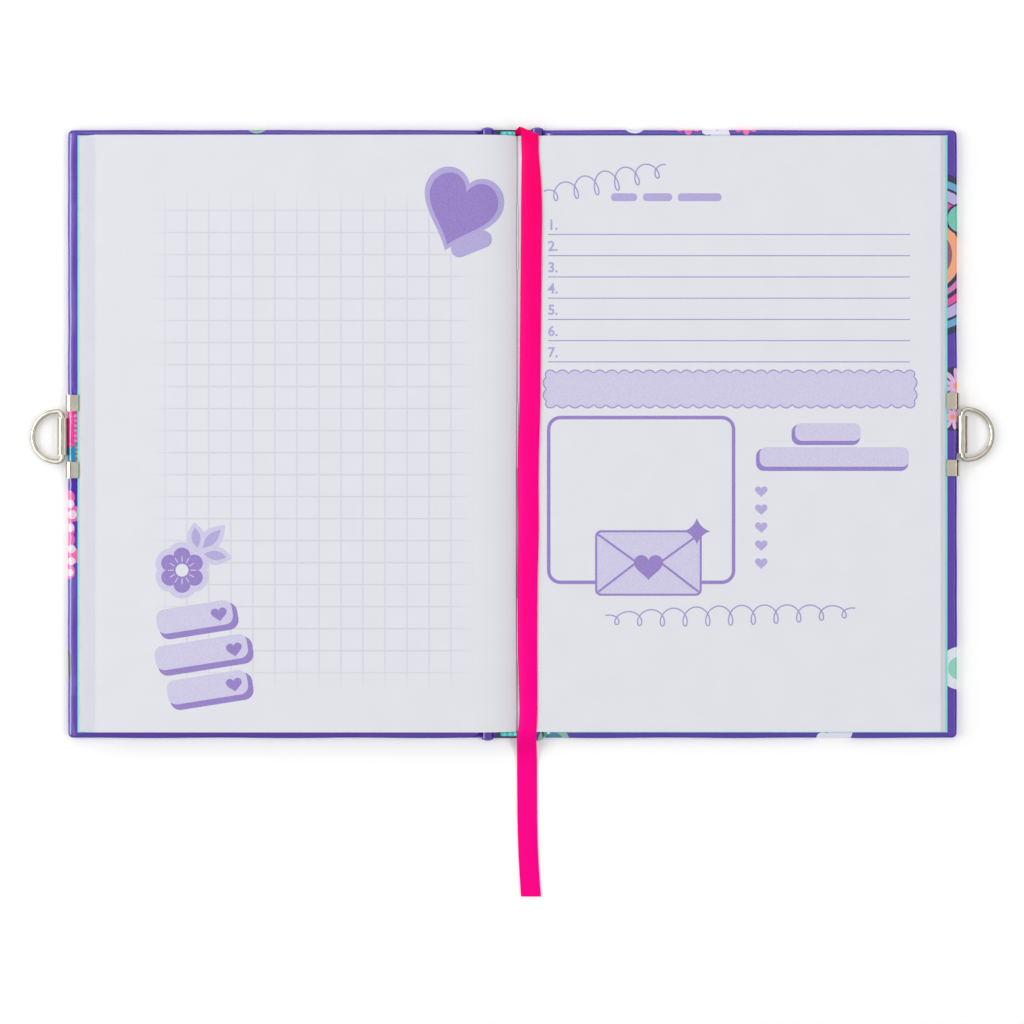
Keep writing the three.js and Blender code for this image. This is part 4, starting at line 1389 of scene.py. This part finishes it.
# The studio: a white table in an even white room, with large softboxes to the left, past the head
# and to the right, and smaller lights that only film and metal reflect. Black flags stand low round
# the table and hang beside the left softbox, and give bright metal its dark lines.
SOFTBOXES = [
    # place, size, watts, turns about X and Y that face it to the diary, whether it lights matt
    # surfaces, and whether film and metal reflect it
    ((-1.22, 0.05, 0.72), (0.85, 1.5), 13.0, (0.0, -1.03), True, True),
    ((-1.12, 0.05, 0.86), (0.3, 1.6), 10.0, (0.0, -0.86), False, True),
    ((-0.77, 0.05, 1.18), (0.6, 1.6), 4.0, (0.0, -0.58), False, True),
    ((0.1, 1.15, 0.95), (1.6, 0.6), 4.0, (-0.88, 0.0), True, True),
    ((1.05, -0.25, 1.1), (0.7, 1.3), 9.0, (0.15, 0.76), True, False),
    ((1.1, -0.1, 0.75), (0.14, 1.3), 1.5, (0.0, 0.97), False, True),
]
ROOM_LIGHT = 0.395
# The table ends where the lamps still light it white, so its edge doesn't show
TABLE_SIDE, TABLE_FOOT, TABLE_HEAD = 0.6, -0.45, 0.65
TABLE_DROP = -0.0001
FLAGS = [
    # one edge at the table or above it, the other edge, and half the length along the table
    ((0.75, 0.0), (0.75, 0.42), "Y", 1.2),
    ((-0.75, 0.0), (-0.75, 0.08), "Y", 1.2),
    ((-0.4, 1.12), (-0.9, 0.9), "Y", 0.05),
    ((-0.95, 0.0), (-0.95, 0.3), "X", 1.2),
    ((0.75, 0.0), (0.75, 0.1), "X", 1.2),
]

floor = bpy.data.objects.new("floor", bpy.data.meshes.new("floor"))
table_corners = [
    (-TABLE_SIDE, TABLE_FOOT, TABLE_DROP),
    (TABLE_SIDE, TABLE_FOOT, TABLE_DROP),
    (TABLE_SIDE, TABLE_HEAD, TABLE_DROP),
    (-TABLE_SIDE, TABLE_HEAD, TABLE_DROP),
]
floor.data.from_pydata(table_corners, [], [(0, 1, 2, 3)])
table = start_material(
    "matt white table",
    Roughness=0.9,
    Specular_IOR_Level=0.1,
    Base_Color=srgb("#FAFAFA"),
    Emission_Strength=0.07,
    Emission_Color=srgb("#FFFFFF"),
)[0]
floor.data.materials.append(table)
scene.collection.objects.link(floor)

black_felt = start_material(
    "black felt", Roughness=1.0, Specular_IOR_Level=0.0, Base_Color=srgb("#161616")
)[0]
for number, ((near, low), (far, high), run, half) in enumerate(FLAGS, 1):
    flag = bpy.data.objects.new(f"flag_{number}", bpy.data.meshes.new(f"flag_{number}"))
    edges = [(near, -half, low), (near, half, low), (far, half, high), (far, -half, high)]
    if run == "X":
        edges = [(y, x, z) for x, y, z in edges]
    flag.data.from_pydata(edges, [], [(0, 1, 2, 3)])
    flag.data.materials.append(black_felt)
    flag.visible_camera = False
    flag.visible_diffuse = False
    flag.visible_shadow = False
    scene.collection.objects.link(flag)

for number, (at, size, watts, (turn_x, turn_y), lights, shows) in enumerate(SOFTBOXES, 1):
    softbox = bpy.data.lights.new(f"softbox_{number}", "AREA")
    softbox.shape = "RECTANGLE"
    softbox.size, softbox.size_y = size
    softbox.energy = watts
    lamp = bpy.data.objects.new(f"softbox_{number}", softbox)
    lamp.location = at
    lamp.rotation_euler = (turn_x, turn_y, 0)
    lamp.visible_camera = False
    lamp.visible_diffuse = lights
    lamp.visible_glossy = shows
    scene.collection.objects.link(lamp)

room = bpy.data.worlds.new("white room")
room.use_nodes = True
scene.world = room
tree = room.node_tree
background = tree.nodes["Background"]
background.inputs["Color"].default_value = srgb("#FFFFFF")
ray = add(tree, "LightPath").node.outputs
seen = add(tree, "Math", {0: ray["Is Camera Ray"], 1: ray["Is Glossy Ray"]}, operation="MAXIMUM")
seen = add(tree, "Math", {0: seen, 1: ray["Is Transmission Ray"]}, operation="MAXIMUM")
strength = add(tree, "MapRange", {0: seen, 1: 0.0, 2: 1.0, 3: ROOM_LIGHT, 4: 1.0})
tree.links.new(strength, background.inputs["Strength"])
scene.view_settings.view_transform = "Standard"
